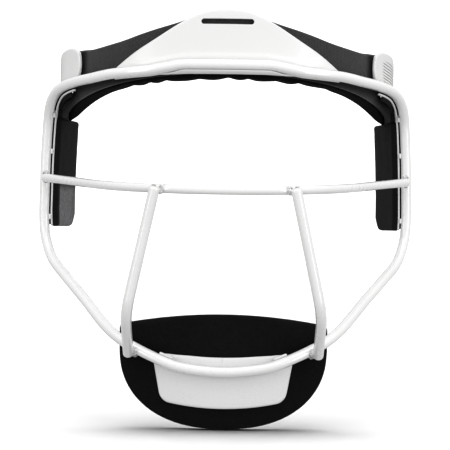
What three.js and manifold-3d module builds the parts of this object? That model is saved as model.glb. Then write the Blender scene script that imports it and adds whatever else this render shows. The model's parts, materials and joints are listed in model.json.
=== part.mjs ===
// A softball fielder's mask: a welded wire cage that a padded brow band, two padded side
// plates and a padded chin plate hold clear of the face.
//
// Millimetres, +Z up. +X is the wearer's left, +Y points to the back of the head. The origin
// is the middle of the brow pad's inner face, where the forehead rests.

import * as THREE from 'three';
import { mergeVertices } from 'three/addons/utils/BufferGeometryUtils.js';
import Module from 'manifold-3d';

const wasm = await Module();
wasm.setup();

// ---------------------------------------------------------------- driving dimensions

const HEAD_RADIUS = 88; // inner face of the brow pad, a round arc in plan
const GAP = 0.3; // between pieces that touch
const WIRE_GAP = 0.45; // between a wire and the plate or clip that hugs it

const WIRE_RADIUS = 2.6; // 3/16 in steel rod and its coating
const BAR_RADIUS = 2.2; // the cross bar is of thinner rod
const WIRE_SIDES = 10;
const WELD_OVERLAP = 0.4; // how far two crossing wires are sunk into each other
const WELD_RADIUS = 3;

const PAD_THICKNESS = 9.2;
const BAND_THICKNESS = 2.5;
const PLATE_THICKNESS = 2.2;
const STRAP_THICKNESS = 2;
const STRAP_WIDTH = 18;

// Layers outward from the forehead.
const BAND_IN = PAD_THICKNESS + GAP;
const BAND_OUT = BAND_IN + BAND_THICKNESS;
const PLATE_IN = BAND_OUT + GAP;
const PLATE_OUT = PLATE_IN + PLATE_THICKNESS;
const WIRE_OUT = PLATE_OUT + WIRE_GAP + WIRE_RADIUS;

const BAR_END = { x: 92.6, y: 37.8 }; // cross bar, where it crosses the side wire
const BAR_FRONT = { y: -57, z: -71.9 };
const BAR_ARC_RADIUS = 70.6;
const BAR_ARC_TURN = 62; // degrees from the middle to where the arc runs straight
const BAR_RISE = 0.073; // height gained for each millimetre back

const CHIN_CENTRE_Y = 61.9; // axis of the arcs that the chin wire, plate and pad follow
const CHIN_WIRE_RADIUS = 90;
const CHIN_PLATE_OUT = CHIN_WIRE_RADIUS - WIRE_RADIUS - WIRE_GAP;
const CHIN_PLATE_THICKNESS = 2;
const CHIN_PAD_OUT = CHIN_PLATE_OUT - CHIN_PLATE_THICKNESS - GAP;
const CHIN_PAD_THICKNESS = 10;
const CHIN_WIRE_Z = -158.2;

const SIDE_PLATE_THICKNESS = 1;
const SIDE_PLATE_CLEARANCE = 0.6; // between the wire and the face of the side plate
const SIDE_SPLAY = 5; // degrees that plate and pad turn in towards the back of the head

const CLIP_WALL = 1.2;
const CLIP_LENGTH = 4;

// ---------------------------------------------------------------- colours

const COATED_STEEL = { color: 0xf2f2f0, roughness: 0.35, metalness: 0.1 };
const WHITE_PLASTIC = { color: 0xeeeeec, roughness: 0.4, metalness: 0 };
const CHARCOAL_FABRIC = { color: 0x3c3c3e, roughness: 0.95, metalness: 0 };
const BLACK_FOAM = { color: 0x121213, roughness: 0.9, metalness: 0 };
const BLACK_ELASTIC = { color: 0x1a1a1b, roughness: 0.9, metalness: 0 };

// ---------------------------------------------------------------- shape of the outlines

// Turn is in degrees round the head from the middle of the brow; z is a height.

const TOP_WIRE = [
  { turn: 0, z: -10.4 },
  { turn: 7, z: -10.4 },
  { turn: 12, z: -10.5 },
  { turn: 14.7, z: -11.2 },
  { turn: 17.5, z: -12 },
  { turn: 21, z: -12.95 },
  { turn: 27, z: -13.65 },
  { turn: 33, z: -14.3 },
  { turn: 40, z: -16 },
  { turn: 45.5, z: -17.2 },
  { turn: 51, z: -18.9 },
  { turn: 54.5, z: -21 },
];

// The perimeter from the temple down the cheek and forward under the chin.
const CHEEK_WIRE = [
  { x: 88.5, y: 30.8, z: -24 },
  { x: 90.5, y: 35, z: -28.6 },
  { x: 91.6, y: 38.8, z: -35 },
  { x: 92.4, y: 41, z: -45 },
  { x: 93, y: 42, z: -57 },
  { x: 93.3, y: 42.2, z: -72 },
  { x: 93.4, y: 42, z: -84 },
  { x: 92.8, y: 41, z: -92 },
  { x: 91, y: 38, z: -99.5 },
  { x: 87.6, y: 32.4, z: -106.7 },
  { x: 79.3, y: 21.6, z: -115.8 },
  { x: 70.1, y: 10.3, z: -125.2 },
  { x: 58.3, y: -4.8, z: -137.8 },
  { x: 53, y: -10.2, z: -142.2 },
  { x: 48.4, y: -13.8, z: -145.2 },
];

// Rise of the chin wire above its middle, across the chin.
const CHIN_WIRE = [
  { x: 42.6, rise: 10.2 },
  { x: 36.2, rise: 7.3 },
  { x: 24, rise: 2.7 },
  { x: 12, rise: 0.7 },
];

const UPRIGHT = [
  { x: 33, y: -53.85, z: -71.6 },
  { x: 46.2, y: -43.6, z: -130.4 },
  { x: 45.9, y: -18.5, z: -150.5 },
];
const UPRIGHT_BEND_REACH = 9; // length of each straight run that the bend takes up

const BROW_PLATE_TOP = [
  { turn: 0, z: 17.3 },
  { turn: 5, z: 16.5 },
  { turn: 10, z: 13.2 },
  { turn: 20.5, z: 2.6 },
  { turn: 27, z: -4.1 },
  { turn: 33, z: -11.4 },
];
const BROW_PLATE_TURN = 33;
const BROW_SLOT = { width: 25.7, height: 2.7, z: 10.9 };
// Degrees that the plate's lower edge curls under the wire: a gutter in the middle, and only a
// lip beyond the wire's step.
const LIP = { middle: 108, ends: 50, from: 11, to: 19.5, thickness: 1.6 };

const BAND = [
  { turn: 0, low: -14.2, high: 14.6 },
  { turn: 6, low: -14.2, high: 14.4 },
  { turn: 10.2, low: -14.4, high: 13 },
  { turn: 14.3, low: -14.9, high: 10.7 },
  { turn: 20.6, low: -15.8, high: 7.8 },
  { turn: 25, low: -16.7, high: 5.7 },
  { turn: 31.3, low: -18.2, high: 2.6 },
  { turn: 36.4, low: -19.9, high: 0.8 },
  { turn: 42, low: -22.2, high: -0.8 },
  { turn: 46.5, low: -24.6, high: -1.5 },
  { turn: 50, low: -26.8, high: -1.6 },
];
// The band's lower corner, which runs on below the strap to the side plate.
const BAND_TAIL = [
  { turn: 50, low: -26.8, high: -22.1 },
  { turn: 54, low: -30.3, high: -22.3 },
  { turn: 56, low: -32.1, high: -24.6 },
  { turn: 57.5, low: -33, high: -28.6 },
];
// Turns at which the band is shaped, from the middle outwards.
const BAND_STATIONS = [3, 6, 9, 12, 15, 18, 21, 24, 27, 30, 33, 36, 39, 42, 45, 48, 50, 50.3, 52, 54, 56, 57.5];

const PAD = [
  { turn: 0, low: -15.8, high: 12.5, thickness: 9.2 },
  { turn: 10, low: -16.8, high: 10.6, thickness: 9.2 },
  { turn: 20, low: -17.5, high: 7, thickness: 9.2 },
  { turn: 30, low: -18.7, high: 2.8, thickness: 9.2 },
  { turn: 40, low: -21.8, high: -1.8, thickness: 9.2 },
  { turn: 48, low: -25.6, high: -5, thickness: 9.2 },
  { turn: 53, low: -28.6, high: -14, thickness: 8.6 },
  { turn: 57, low: -31.1, high: -22, thickness: 6.6 },
  { turn: 60, low: -32.9, high: -23.8, thickness: 5 },
  { turn: 63, low: -34, high: -25.6, thickness: 3.4 },
  { turn: 67, low: -35, high: -28.4, thickness: 1.6 },
];
const PAD_TURN = 67;
const PAD_EASE = 1.2; // rounding of the pad's edges

// Middle of the strap's thickness, from where it leaves the band to the back of the head.
const STRAP = [
  { x: 76.6, y: 25.6, z: -12.6 },
  { x: 79.8, y: 29.9, z: -12.2 },
  { x: 81.7, y: 37.5, z: -11.5 },
  { x: 82.6, y: 50, z: -10 },
  { x: 82.8, y: 68, z: -7.5 },
  { x: 81.4, y: 95, z: -3.5 },
  { x: 76.6, y: 122, z: 0 },
  { x: 65, y: 148, z: 3.4 },
  { x: 46, y: 171, z: 7.6 },
  { x: 24, y: 185.4, z: 10 },
  { x: 0, y: 190, z: 10.6 },
];

// The tab, by how far along it is from its front edge to its rear edge.
const TAB = [
  { along: 0, low: -14.6, high: -1.8 },
  { along: 0.1, low: -15.4, high: 0 },
  { along: 0.2, low: -16.2, high: 0.3 },
  { along: 0.33, low: -17.2, high: -0.7 },
  { along: 0.53, low: -18.7, high: -2.6 },
  { along: 0.7, low: -19.8, high: -4.2 },
  { along: 0.85, low: -20.2, high: -5.8 },
  { along: 1, low: -19.2, high: -8 },
];
const TAB_THICKNESS = 2.2;
const TAB_FRONT_TURN = 47.4;
const TAB_FRONT_BOW = 0.03; // part of its length by which the front edge's corners fall back
const TAB_BACK_Y = 56;

// Depth of the side plate behind the wire, by height.
const SIDE_PLATE_DEPTH = [
  { z: -20, depth: 3 },
  { z: -23, depth: 3.4 },
  { z: -24.5, depth: 10 },
  { z: -27, depth: 24 },
  { z: -31, depth: 32 },
  { z: -38, depth: 36 },
  { z: -84, depth: 36 },
  { z: -90, depth: 32 },
];
const SIDE_PLATE_FROM_TURN = 46.5;
const SIDE_PLATE_LOW_Z = -90;
const SIDE_CLIP_Z = [-32, -51, -85];

const SIDE_PAD = { top: -34.2, low: -89.8, front: 0.3, back: 36, edge: 2.4, crown: 6 };
const SIDE_PAD_CORNER = 9; // cut off the lower rear corner
const LINER = { top: -24.4, low: -50, front: 2.6, margin: 1, thickness: 1 }; // backing above the pad

const CHIN_PLATE = { halfWidth: 34, taper: 3, low: -176.6, lowRise: 3.4, corner: 0.84 };
const CHIN_PLATE_TOP = [
  { x: 0, rise: 6.5 },
  { x: 22, rise: 5.2 },
  { x: 30, rise: 2.8 },
  { x: 34, rise: -1 },
];
const CHIN_CLIP_X = [-28.4, 28.4];
const CHIN_CLIP_LENGTH = 7;
const CHIN_PAD = { halfWidth: 51, top: -131.4, topFall: 6, shoulder: -148, low: -187 };
const CHIN_PAD_FULLNESS = 2.3; // power of the curve of its lower edge, 2 is an ellipse
const CHIN_LEAN = 5; // how far plate and pad curve back under the chin

// ---------------------------------------------------------------- helpers

const { degToRad, lerp, smoothstep } = THREE.MathUtils;
const V = (x, y, z) => new THREE.Vector3(x, y, z);

/** A point `out` mm outside the forehead, `turn` degrees round the head. */
function onHead(turn, out, z) {
  const angle = degToRad(turn);
  const radius = HEAD_RADIUS + out;
  return V(radius * Math.sin(angle), HEAD_RADIUS - radius * Math.cos(angle), z);
}

/** A point on an arc of `radius` round the chin, `x` mm from the middle. */
function onChin(x, radius, z) {
  return V(x, CHIN_CENTRE_Y - Math.sqrt(radius * radius - x * x), z);
}

/** Reads a named column of a table at `at`, on a smooth curve through its rows. */
function column(rows, by, name, at) {
  const last = rows.length - 1;
  const rising = rows[last][by] > rows[0][by] ? 1 : -1;
  let i = 0;
  while (i < last - 1 && (at - rows[i + 1][by]) * rising > 0) i += 1;
  const slope = (a, b) => (rows[b][name] - rows[a][name]) / (rows[b][by] - rows[a][by]);
  const span = rows[i + 1][by] - rows[i][by];
  const here = slope(i, i + 1);
  const before = i > 0 ? (slope(i - 1, i) + here) / 2 : here;
  const after = i < last - 1 ? (slope(i + 1, i + 2) + here) / 2 : here;
  const t = THREE.MathUtils.clamp((at - rows[i][by]) / span, 0, 1);
  const [t2, t3] = [t * t, t * t * t];
  return (
    rows[i][name] * (2 * t3 - 3 * t2 + 1) +
    before * span * (t3 - 2 * t2 + t) +
    rows[i + 1][name] * (3 * t2 - 2 * t3) +
    after * span * (t3 - t2)
  );
}

/** A geometry with position only, its shared vertices merged and its faces pointing out. */
function closed(geometry) {
  const bare = new THREE.BufferGeometry();
  bare.setAttribute('position', geometry.getAttribute('position'));
  bare.setIndex(geometry.index);
  const merged = mergeVertices(bare, 1e-4);
  const [a, b, c] = [V(), V(), V()];
  const { index } = merged;
  const position = merged.getAttribute('position');
  let volume = 0;
  for (let i = 0; i < index.count; i += 3) {
    a.fromBufferAttribute(position, index.getX(i));
    b.fromBufferAttribute(position, index.getX(i + 1));
    c.fromBufferAttribute(position, index.getX(i + 2));
    volume += a.dot(b.cross(c));
  }
  if (volume < 0) {
    for (let i = 0; i < index.count; i += 3) {
      const second = index.getX(i + 1);
      index.setX(i + 1, index.getX(i + 2));
      index.setX(i + 2, second);
    }
  }
  return merged;
}

function toSolid(geometry) {
  const { attributes, index } = closed(geometry);
  return new wasm.Manifold(
    new wasm.Mesh({
      numProp: 3,
      vertProperties: attributes.position.array,
      triVerts: Uint32Array.from(index.array),
    }),
  );
}

function toGeometry(solid) {
  const { vertProperties, triVerts } = solid.getMesh();
  const geometry = new THREE.BufferGeometry();
  geometry.setAttribute('position', new THREE.BufferAttribute(vertProperties, 3));
  geometry.setIndex(new THREE.BufferAttribute(triVerts, 1));
  return geometry;
}

/** One solid from several geometries that overlap. */
const join = (geometries) =>
  toGeometry(geometries.map(toSolid).reduce((whole, part) => whole.add(part)));

/** A box of unit size bent by `place`, which takes u, v and w from 0 to 1 to a point. */
function bentBox(uSteps, vSteps, wSteps, place) {
  const geometry = new THREE.BoxGeometry(1, 1, 1, uSteps, vSteps, wSteps);
  const position = geometry.getAttribute('position');
  for (let i = 0; i < position.count; i += 1) {
    const [u, v, w] = [position.getX(i), position.getY(i), position.getZ(i)];
    const point = place(u + 0.5, v + 0.5, w + 0.5);
    position.setXYZ(i, point.x, point.y, point.z);
  }
  return closed(geometry);
}

/** A wire with square ends along an open path. */
function wire(path, steps, radius = WIRE_RADIUS) {
  const circle = new THREE.EllipseCurve(0, 0, radius, radius).getPoints(WIRE_SIDES);
  const section = new THREE.Shape(circle.slice(0, -1));
  return new THREE.ExtrudeGeometry(section, { extrudePath: path, steps, bevelEnabled: false });
}

const ball = (centre, radius) => new THREE.IcosahedronGeometry(radius, 1).translate(...centre);

/** A copy reflected to the other side of the face. */
const mirrored = (geometry) => closed(geometry.clone().scale(-1, 1, 1));

// ---------------------------------------------------------------- cage

function perimeterPath() {
  const half = [
    ...TOP_WIRE.map(({ turn, z }) => onHead(turn, WIRE_OUT, z)),
    ...CHEEK_WIRE.map(({ x, y, z }) => V(x, y, z)),
    ...CHIN_WIRE.map(({ x, rise }) => onChin(x, CHIN_WIRE_RADIUS, CHIN_WIRE_Z + rise)),
  ];
  const chin = onChin(0, CHIN_WIRE_RADIUS, CHIN_WIRE_Z);
  const other = half.slice(1).map(({ x, y, z }) => V(-x, y, z));
  return new THREE.CatmullRomCurve3([...half, chin, ...other.reverse()], true, 'centripetal');
}

const barHeight = (y) => BAR_FRONT.z + BAR_RISE * (y - BAR_FRONT.y);

function crossBarPath() {
  const points = [];
  const centreY = BAR_FRONT.y + BAR_ARC_RADIUS;
  const steps = 12;
  for (let i = -steps; i <= steps; i += 1) {
    const angle = degToRad((BAR_ARC_TURN * i) / steps);
    const y = centreY - BAR_ARC_RADIUS * Math.cos(angle);
    points.push(V(BAR_ARC_RADIUS * Math.sin(angle), y, barHeight(y)));
  }
  const end = (side) => V(side * BAR_END.x, BAR_END.y, barHeight(BAR_END.y));
  return new THREE.CatmullRomCurve3([end(-1), ...points, end(1)], false, 'centripetal');
}

/** Straight runs joined by a bend of UPRIGHT_BEND_REACH. */
function uprightPath(side) {
  const [top, bend, foot] = UPRIGHT.map(({ x, y, z }) => V(side * x, y, z));
  const into = bend.clone().sub(top).setLength(UPRIGHT_BEND_REACH);
  const away = foot.clone().sub(bend).setLength(UPRIGHT_BEND_REACH);
  const path = new THREE.CurvePath();
  const [start, end] = [bend.clone().sub(into), bend.clone().add(away)];
  path.add(new THREE.LineCurve3(top, start));
  path.add(new THREE.QuadraticBezierCurve3(start, bend, end));
  path.add(new THREE.LineCurve3(end, foot));
  return new THREE.CatmullRomCurve3(path.getSpacedPoints(16), false, 'centripetal');
}

/** Half way between two centre lines where they come nearest. */
function weldPoint(pathA, pathB, samples = 400) {
  const a = pathA.getSpacedPoints(samples);
  const b = pathB.getSpacedPoints(samples);
  let best = { distance: Infinity };
  for (const p of a) {
    for (const q of b) {
      const distance = p.distanceTo(q);
      if (distance < best.distance) best = { distance, point: p.clone().lerp(q, 0.5) };
    }
  }
  return best.point;
}

function cage() {
  const perimeter = perimeterPath();
  const bar = crossBarPath();
  const loop = new THREE.TubeGeometry(perimeter, 116, WIRE_RADIUS, WIRE_SIDES, true);
  const parts = [loop, wire(bar, 38, BAR_RADIUS)];
  for (const side of [-1, 1]) {
    const upright = uprightPath(side);
    parts.push(wire(upright, 14));
    parts.push(ball(upright.getPointAt(0), WIRE_RADIUS));
    parts.push(ball(upright.getPointAt(1), WIRE_RADIUS));
    parts.push(ball(weldPoint(upright, bar), WELD_RADIUS));
    parts.push(ball(weldPoint(upright, perimeter), WELD_RADIUS));
    const barEnd = V(side * BAR_END.x, BAR_END.y + BAR_RADIUS - WELD_OVERLAP / 2, barHeight(BAR_END.y));
    parts.push(ball(barEnd, WELD_RADIUS));
  }
  return join(parts);
}

// ---------------------------------------------------------------- brow

const topWireZ = (turn) => column(TOP_WIRE, 'turn', 'z', Math.abs(turn));

/** A flat face behind the wire that curls forward under it. */
function browPlate() {
  const curlFrom = 0.4;
  const plate = bentBox(34, 10, 1, (u, v, w) => {
    const across = 2 * u - 1;
    const turn = across * BROW_PLATE_TURN;
    const wireZ = topWireZ(turn);
    if (v < curlFrom) {
      const top = column(BROW_PLATE_TOP, 'turn', 'z', Math.abs(turn));
      return onHead(turn, lerp(PLATE_OUT, PLATE_IN, w), lerp(top, wireZ, v / curlFrom));
    }
    const curled = (v - curlFrom) / (1 - curlFrom);
    const lip = lerp(LIP.middle, LIP.ends, smoothstep(Math.abs(turn), LIP.from, LIP.to));
    const curl = degToRad(lip * curled);
    const radius = WIRE_RADIUS + WIRE_GAP + w * lerp(PLATE_THICKNESS, LIP.thickness, Math.min(1, curled * 2));
    return onHead(turn, WIRE_OUT - radius * Math.cos(curl), wireZ - radius * Math.sin(curl));
  });
  const half = BROW_SLOT.height / 2;
  const run = BROW_SLOT.width / 2 - half;
  const stadium = new THREE.Shape();
  stadium.absarc(run, 0, half, -Math.PI / 2, Math.PI / 2);
  stadium.absarc(-run, 0, half, Math.PI / 2, (3 * Math.PI) / 2);
  const cutter = new THREE.ExtrudeGeometry(stadium, { depth: 40, curveSegments: 6, bevelEnabled: false });
  cutter.rotateX(Math.PI / 2).translate(0, 0, BROW_SLOT.z);
  return toGeometry(toSolid(plate).subtract(toSolid(cutter)));
}

function headBand() {
  const stations = [...BAND_STATIONS.map((turn) => -turn).reverse(), 0, ...BAND_STATIONS];
  return bentBox(stations.length - 1, 3, 1, (u, v, w) => {
    const turn = stations[Math.round(u * (stations.length - 1))];
    const read = (name) => column(Math.abs(turn) > 50 ? BAND_TAIL : BAND, 'turn', name, Math.abs(turn));
    return onHead(turn, lerp(BAND_IN, BAND_OUT, w), lerp(read('low'), read('high'), v));
  });
}

function browPad() {
  return bentBox(36, 3, 2, (u, v, w) => {
    const turn = lerp(-PAD_TURN, PAD_TURN, u);
    const read = (name) => column(PAD, 'turn', name, Math.abs(turn));
    const ease = w === 0.5 ? 0 : Math.min(PAD_EASE, (read('high') - read('low')) / 4);
    return onHead(turn, w * read('thickness'), lerp(read('low') + ease, read('high') - ease, v));
  });
}

// ---------------------------------------------------------------- strap and tabs

const strapHalf = STRAP.map(({ x, y, z }) => V(x, y, z));
const strapPath = new THREE.CatmullRomCurve3(
  [...strapHalf, ...strapHalf.slice(0, -1).reverse().map(({ x, y, z }) => V(-x, y, z))],
  false,
  'centripetal',
);

/** Horizontal direction square to a path, pointing away from the head. */
function awayFromHead(path, t) {
  const tangent = path.getTangentAt(t);
  return V(tangent.y, -tangent.x, 0).normalize();
}

function rearStrap() {
  return bentBox(56, 1, 1, (u, v, w) => {
    const point = strapPath.getPointAt(u);
    point.addScaledVector(awayFromHead(strapPath, u), (w - 0.5) * STRAP_THICKNESS);
    return point.setZ(point.z + (v - 0.5) * STRAP_WIDTH);
  });
}

/** The tab lies on the end of the band and the start of the strap, which share one line. */
function templeTab() {
  const bandMiddle = (BAND_IN + BAND_OUT) / 2;
  const front = [TAB_FRONT_TURN - 1, TAB_FRONT_TURN + 1.5].map((turn) => onHead(turn, bandMiddle, 0));
  const rear = strapHalf.slice(0, 5).map(({ x, y }) => V(x, y, 0));
  const line = new THREE.CatmullRomCurve3([...front, ...rear], false, 'centripetal');
  const points = line.getSpacedPoints(200);
  const endAt = points.findIndex(({ y }) => y > TAB_BACK_Y) / 200;
  const inside = BAND_THICKNESS / 2 + GAP;
  return bentBox(14, 6, 1, (u, v, w) => {
    const t = endAt * (u + (1 - u) * TAB_FRONT_BOW * (2 * v - 1) ** 2);
    const low = column(TAB, 'along', 'low', u);
    const high = column(TAB, 'along', 'high', u);
    const point = line.getPointAt(t);
    point.addScaledVector(awayFromHead(line, t), inside + w * TAB_THICKNESS);
    return point.setZ(lerp(low, high, v));
  });
}

// ---------------------------------------------------------------- sides

/** Frames along the side wire: its centre, and the direction across to the inside of the loop. */
function sideFrames() {
  const path = perimeterPath();
  const samples = 1200;
  const startX = onHead(SIDE_PLATE_FROM_TURN, WIRE_OUT, 0).x;
  const frames = [];
  for (let i = 0; i < samples / 2; i += 1) {
    const centre = path.getPointAt(i / samples);
    if (centre.z < SIDE_PLATE_LOW_Z) break;
    if (centre.x < startX) continue;
    const tangent = path.getTangentAt(i / samples);
    frames.push({ centre, tangent, across: V(tangent.z, 0, -tangent.x).normalize() });
  }
  return frames;
}

const splay = degToRad(SIDE_SPLAY);
const backward = V(-Math.sin(splay), Math.cos(splay), 0);
const plateDepth = (z) => column(SIDE_PLATE_DEPTH, 'z', 'depth', z);
const frameNear = (frames, z) =>
  frames.reduce((best, one) => (Math.abs(one.centre.z - z) < Math.abs(best.centre.z - z) ? one : best));

/** A C that hooks round the back of a wire, from one angle to another about its centre. */
function wireClip({ centre, tangent, across }, from, to, length) {
  const inner = WIRE_RADIUS + WIRE_GAP;
  const outer = inner + CLIP_WALL;
  const section = new THREE.Shape();
  section.absarc(0, 0, outer, degToRad(from), degToRad(to), false);
  section.absarc(0, 0, inner, degToRad(to), degToRad(from), true);
  const clip = new THREE.ExtrudeGeometry(section, { depth: length, curveSegments: 7, bevelEnabled: false });
  clip.translate(0, 0, -length / 2);
  const side = across.clone().addScaledVector(tangent, -across.dot(tangent)).normalize();
  const behind = V().crossVectors(tangent, side);
  clip.applyMatrix4(new THREE.Matrix4().makeBasis(side, behind, tangent).setPosition(centre));
  return clip;
}

function sidePlate() {
  const frames = sideFrames();
  const offset = WIRE_RADIUS + SIDE_PLATE_CLEARANCE;
  const sheet = bentBox(22, 4, 1, (u, v, w) => {
    const { centre, across } = frames[Math.round(u * (frames.length - 1))];
    const point = centre.clone().addScaledVector(across, offset + w * SIDE_PLATE_THICKNESS);
    return point.addScaledVector(backward, v * plateDepth(centre.z));
  });
  const clips = SIDE_CLIP_Z.map((z) => wireClip(frameNear(frames, z), -20, 120, CLIP_LENGTH));
  return join([sheet, ...clips]);
}

/** A pressed foam pad: thin at its border, full in the middle, one lower corner cut off. Its
 * backing runs on above it, over the rest of the plate. */
function sidePad() {
  const frames = sideFrames();
  const { top, low, front, back, edge, crown } = SIDE_PAD;
  const seat = WIRE_RADIUS + SIDE_PLATE_CLEARANCE + SIDE_PLATE_THICKNESS + GAP;
  const lined = frames.filter(({ centre }) => centre.z < LINER.top && centre.z > LINER.low);
  const liner = bentBox(10, 4, 1, (u, v, w) => {
    const { centre, across } = lined[Math.round(u * (lined.length - 1))];
    const point = centre.clone().addScaledVector(across, seat + w * LINER.thickness);
    return point.addScaledVector(backward, lerp(LINER.front, plateDepth(centre.z) - LINER.margin, v));
  });
  const cushion = bentBox(8, 10, 1, (u, v, w) => {
    const depth = lerp(front, back, u);
    const cut = Math.max(0, SIDE_PAD_CORNER - (back - depth)) * 0.75;
    const z = lerp(low + cut, top, v);
    const { centre, across } = frameNear(frames, z);
    const fullness = (1 - (2 * u - 1) ** 4) * (1 - (2 * v - 1) ** 6);
    const thickness = edge + (crown - edge) * fullness;
    const point = centre.clone().setZ(z).addScaledVector(backward, depth);
    return point.addScaledVector(V(across.x, 0, 0).normalize(), seat + 0.4 + w * (thickness - 0.4));
  });
  return join([liner, cushion]);
}

// ---------------------------------------------------------------- chin

const chinWireZ = (x) => {
  const rows = [{ x: 0, rise: 0 }, ...CHIN_WIRE.slice().reverse()];
  return CHIN_WIRE_Z + column(rows, 'x', 'rise', Math.abs(x));
};

/** How far back the chin pieces lie at height z: nothing at the wire, most at the bottom. */
const chinLean = (z) => {
  const depth = Math.max(0, CHIN_WIRE_Z - z) / (CHIN_WIRE_Z - CHIN_PAD.low);
  return CHIN_LEAN * depth * depth;
};

function chinPlate() {
  const { halfWidth, taper, low, lowRise, corner } = CHIN_PLATE;
  const sheet = bentBox(20, 6, 1, (u, v, w) => {
    const across = 2 * u - 1;
    const x = across * (halfWidth - taper * (1 - v));
    const top = chinWireZ(x) + column(CHIN_PLATE_TOP, 'x', 'rise', Math.abs(x));
    const round = Math.max(0, (Math.abs(across) - corner) / (1 - corner));
    const bottom = low + lowRise * across * across + 5 * (1 - Math.sqrt(1 - round * round));
    const z = lerp(bottom, top, v);
    const point = onChin(x, CHIN_PLATE_OUT - w * CHIN_PLATE_THICKNESS, z);
    return point.setY(point.y + chinLean(z));
  });
  const clips = CHIN_CLIP_X.map((x) => {
    const centre = onChin(x, CHIN_WIRE_RADIUS, chinWireZ(x));
    const next = onChin(x + 1, CHIN_WIRE_RADIUS, chinWireZ(x + 1));
    const tangent = next.sub(centre).normalize();
    return wireClip({ centre, tangent, across: V(0, 0, 1) }, -150, 15, CHIN_CLIP_LENGTH);
  });
  return join([sheet, ...clips]);
}

function chinPad() {
  const { halfWidth, top, topFall, shoulder, low } = CHIN_PAD;
  return bentBox(22, 8, 2, (u, v, w) => {
    const reach = Math.sin((u - 0.5) * Math.PI);
    const ease = w === 0.5 ? 1 : 0.96;
    const x = reach * halfWidth * ease;
    const round = (1 - Math.abs(reach) ** CHIN_PAD_FULLNESS) ** (1 / CHIN_PAD_FULLNESS);
    const upper = top - topFall * reach * reach - (1 - ease) * 40;
    const z = lerp(shoulder + (low - shoulder) * round * ease, upper, v);
    const point = onChin(x, CHIN_PAD_OUT - w * CHIN_PAD_THICKNESS, z);
    return point.setY(point.y + chinLean(z));
  });
}

// ---------------------------------------------------------------- the mask

const mask = new THREE.Group();
mask.name = 'fielders_mask';

function add(name, geometry, finish) {
  const mesh = new THREE.Mesh(geometry, new THREE.MeshStandardMaterial(finish));
  mesh.name = name;
  mask.add(mesh);
}

add('cage', cage(), COATED_STEEL);
add('brow_plate', browPlate(), WHITE_PLASTIC);
add('head_band', headBand(), CHARCOAL_FABRIC);
add('brow_pad', browPad(), BLACK_FOAM);
add('rear_strap', rearStrap(), BLACK_ELASTIC);
add('temple_tab_left', templeTab(), WHITE_PLASTIC);
add('temple_tab_right', mirrored(templeTab()), WHITE_PLASTIC);
add('side_plate_left', sidePlate(), WHITE_PLASTIC);
add('side_plate_right', mirrored(sidePlate()), WHITE_PLASTIC);
add('side_pad_left', sidePad(), BLACK_FOAM);
add('side_pad_right', mirrored(sidePad()), BLACK_FOAM);
add('chin_plate', chinPlate(), WHITE_PLASTIC);
add('chin_pad', chinPad(), BLACK_FOAM);

export default mask;
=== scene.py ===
import json
import math
from bisect import bisect_left

import bmesh
import bpy
from mathutils import Matrix, Vector, noise

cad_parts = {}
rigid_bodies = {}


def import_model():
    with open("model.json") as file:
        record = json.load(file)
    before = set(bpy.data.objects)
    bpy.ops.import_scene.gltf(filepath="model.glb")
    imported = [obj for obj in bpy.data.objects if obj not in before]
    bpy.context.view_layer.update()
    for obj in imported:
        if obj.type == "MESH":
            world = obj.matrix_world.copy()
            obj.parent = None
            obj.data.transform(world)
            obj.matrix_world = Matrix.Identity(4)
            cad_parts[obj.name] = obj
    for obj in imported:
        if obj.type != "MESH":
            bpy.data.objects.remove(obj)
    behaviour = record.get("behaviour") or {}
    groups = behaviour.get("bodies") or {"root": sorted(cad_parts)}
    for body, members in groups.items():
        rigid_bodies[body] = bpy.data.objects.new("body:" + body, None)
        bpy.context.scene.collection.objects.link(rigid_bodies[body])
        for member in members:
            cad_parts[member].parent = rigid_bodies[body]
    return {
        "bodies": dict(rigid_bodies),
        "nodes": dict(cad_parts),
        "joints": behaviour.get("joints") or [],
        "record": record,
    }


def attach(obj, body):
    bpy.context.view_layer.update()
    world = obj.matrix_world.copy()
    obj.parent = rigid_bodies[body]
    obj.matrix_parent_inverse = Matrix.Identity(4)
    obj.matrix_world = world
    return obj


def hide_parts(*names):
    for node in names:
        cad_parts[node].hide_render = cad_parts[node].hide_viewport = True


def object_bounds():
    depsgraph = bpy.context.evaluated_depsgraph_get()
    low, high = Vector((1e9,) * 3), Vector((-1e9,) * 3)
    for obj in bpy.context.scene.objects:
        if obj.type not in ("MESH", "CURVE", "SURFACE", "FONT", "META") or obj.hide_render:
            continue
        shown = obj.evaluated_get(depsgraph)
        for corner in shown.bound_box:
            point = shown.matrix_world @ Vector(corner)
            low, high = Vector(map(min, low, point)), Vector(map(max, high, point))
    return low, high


bl_info = {
    "name": "Fielder's Mask",
    "version": (1, 0, 0),
    "blender": (4, 5, 0),
    "location": "3D View > Sidebar > Mask",
    "description": "Finished surfaces for a wire fielder's mask, built over its frame",
    "category": "Add Mesh",
}

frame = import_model()
CAD_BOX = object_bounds()

# Shapes are worked out in millimetres and degrees, and brought to metres when a piece is
# finished. A turn goes round the forehead from its middle, and OUT is away from the head.
# +X is the wearer's left, +Y points to the back of the head, and the origin is the middle
# of the brow pad's inner face.
MM = 0.001

HEAD_RADIUS = 88
GAP, WIRE_GAP, SEATING_GAP = 0.3, 0.45, 0.05
THINNEST = 0.05
WIRE_RADIUS, BAR_RADIUS = 2.6, 2.2

PAD_THICKNESS = 9.2
BAND_THICKNESS = 2.5
PLATE_THICKNESS = 2.2
BAND_IN = PAD_THICKNESS + GAP
BAND_OUT = BAND_IN + BAND_THICKNESS
PLATE_IN = BAND_OUT + GAP
PLATE_OUT = PLATE_IN + PLATE_THICKNESS
WIRE_OUT = PLATE_OUT + WIRE_GAP + WIRE_RADIUS

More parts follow.
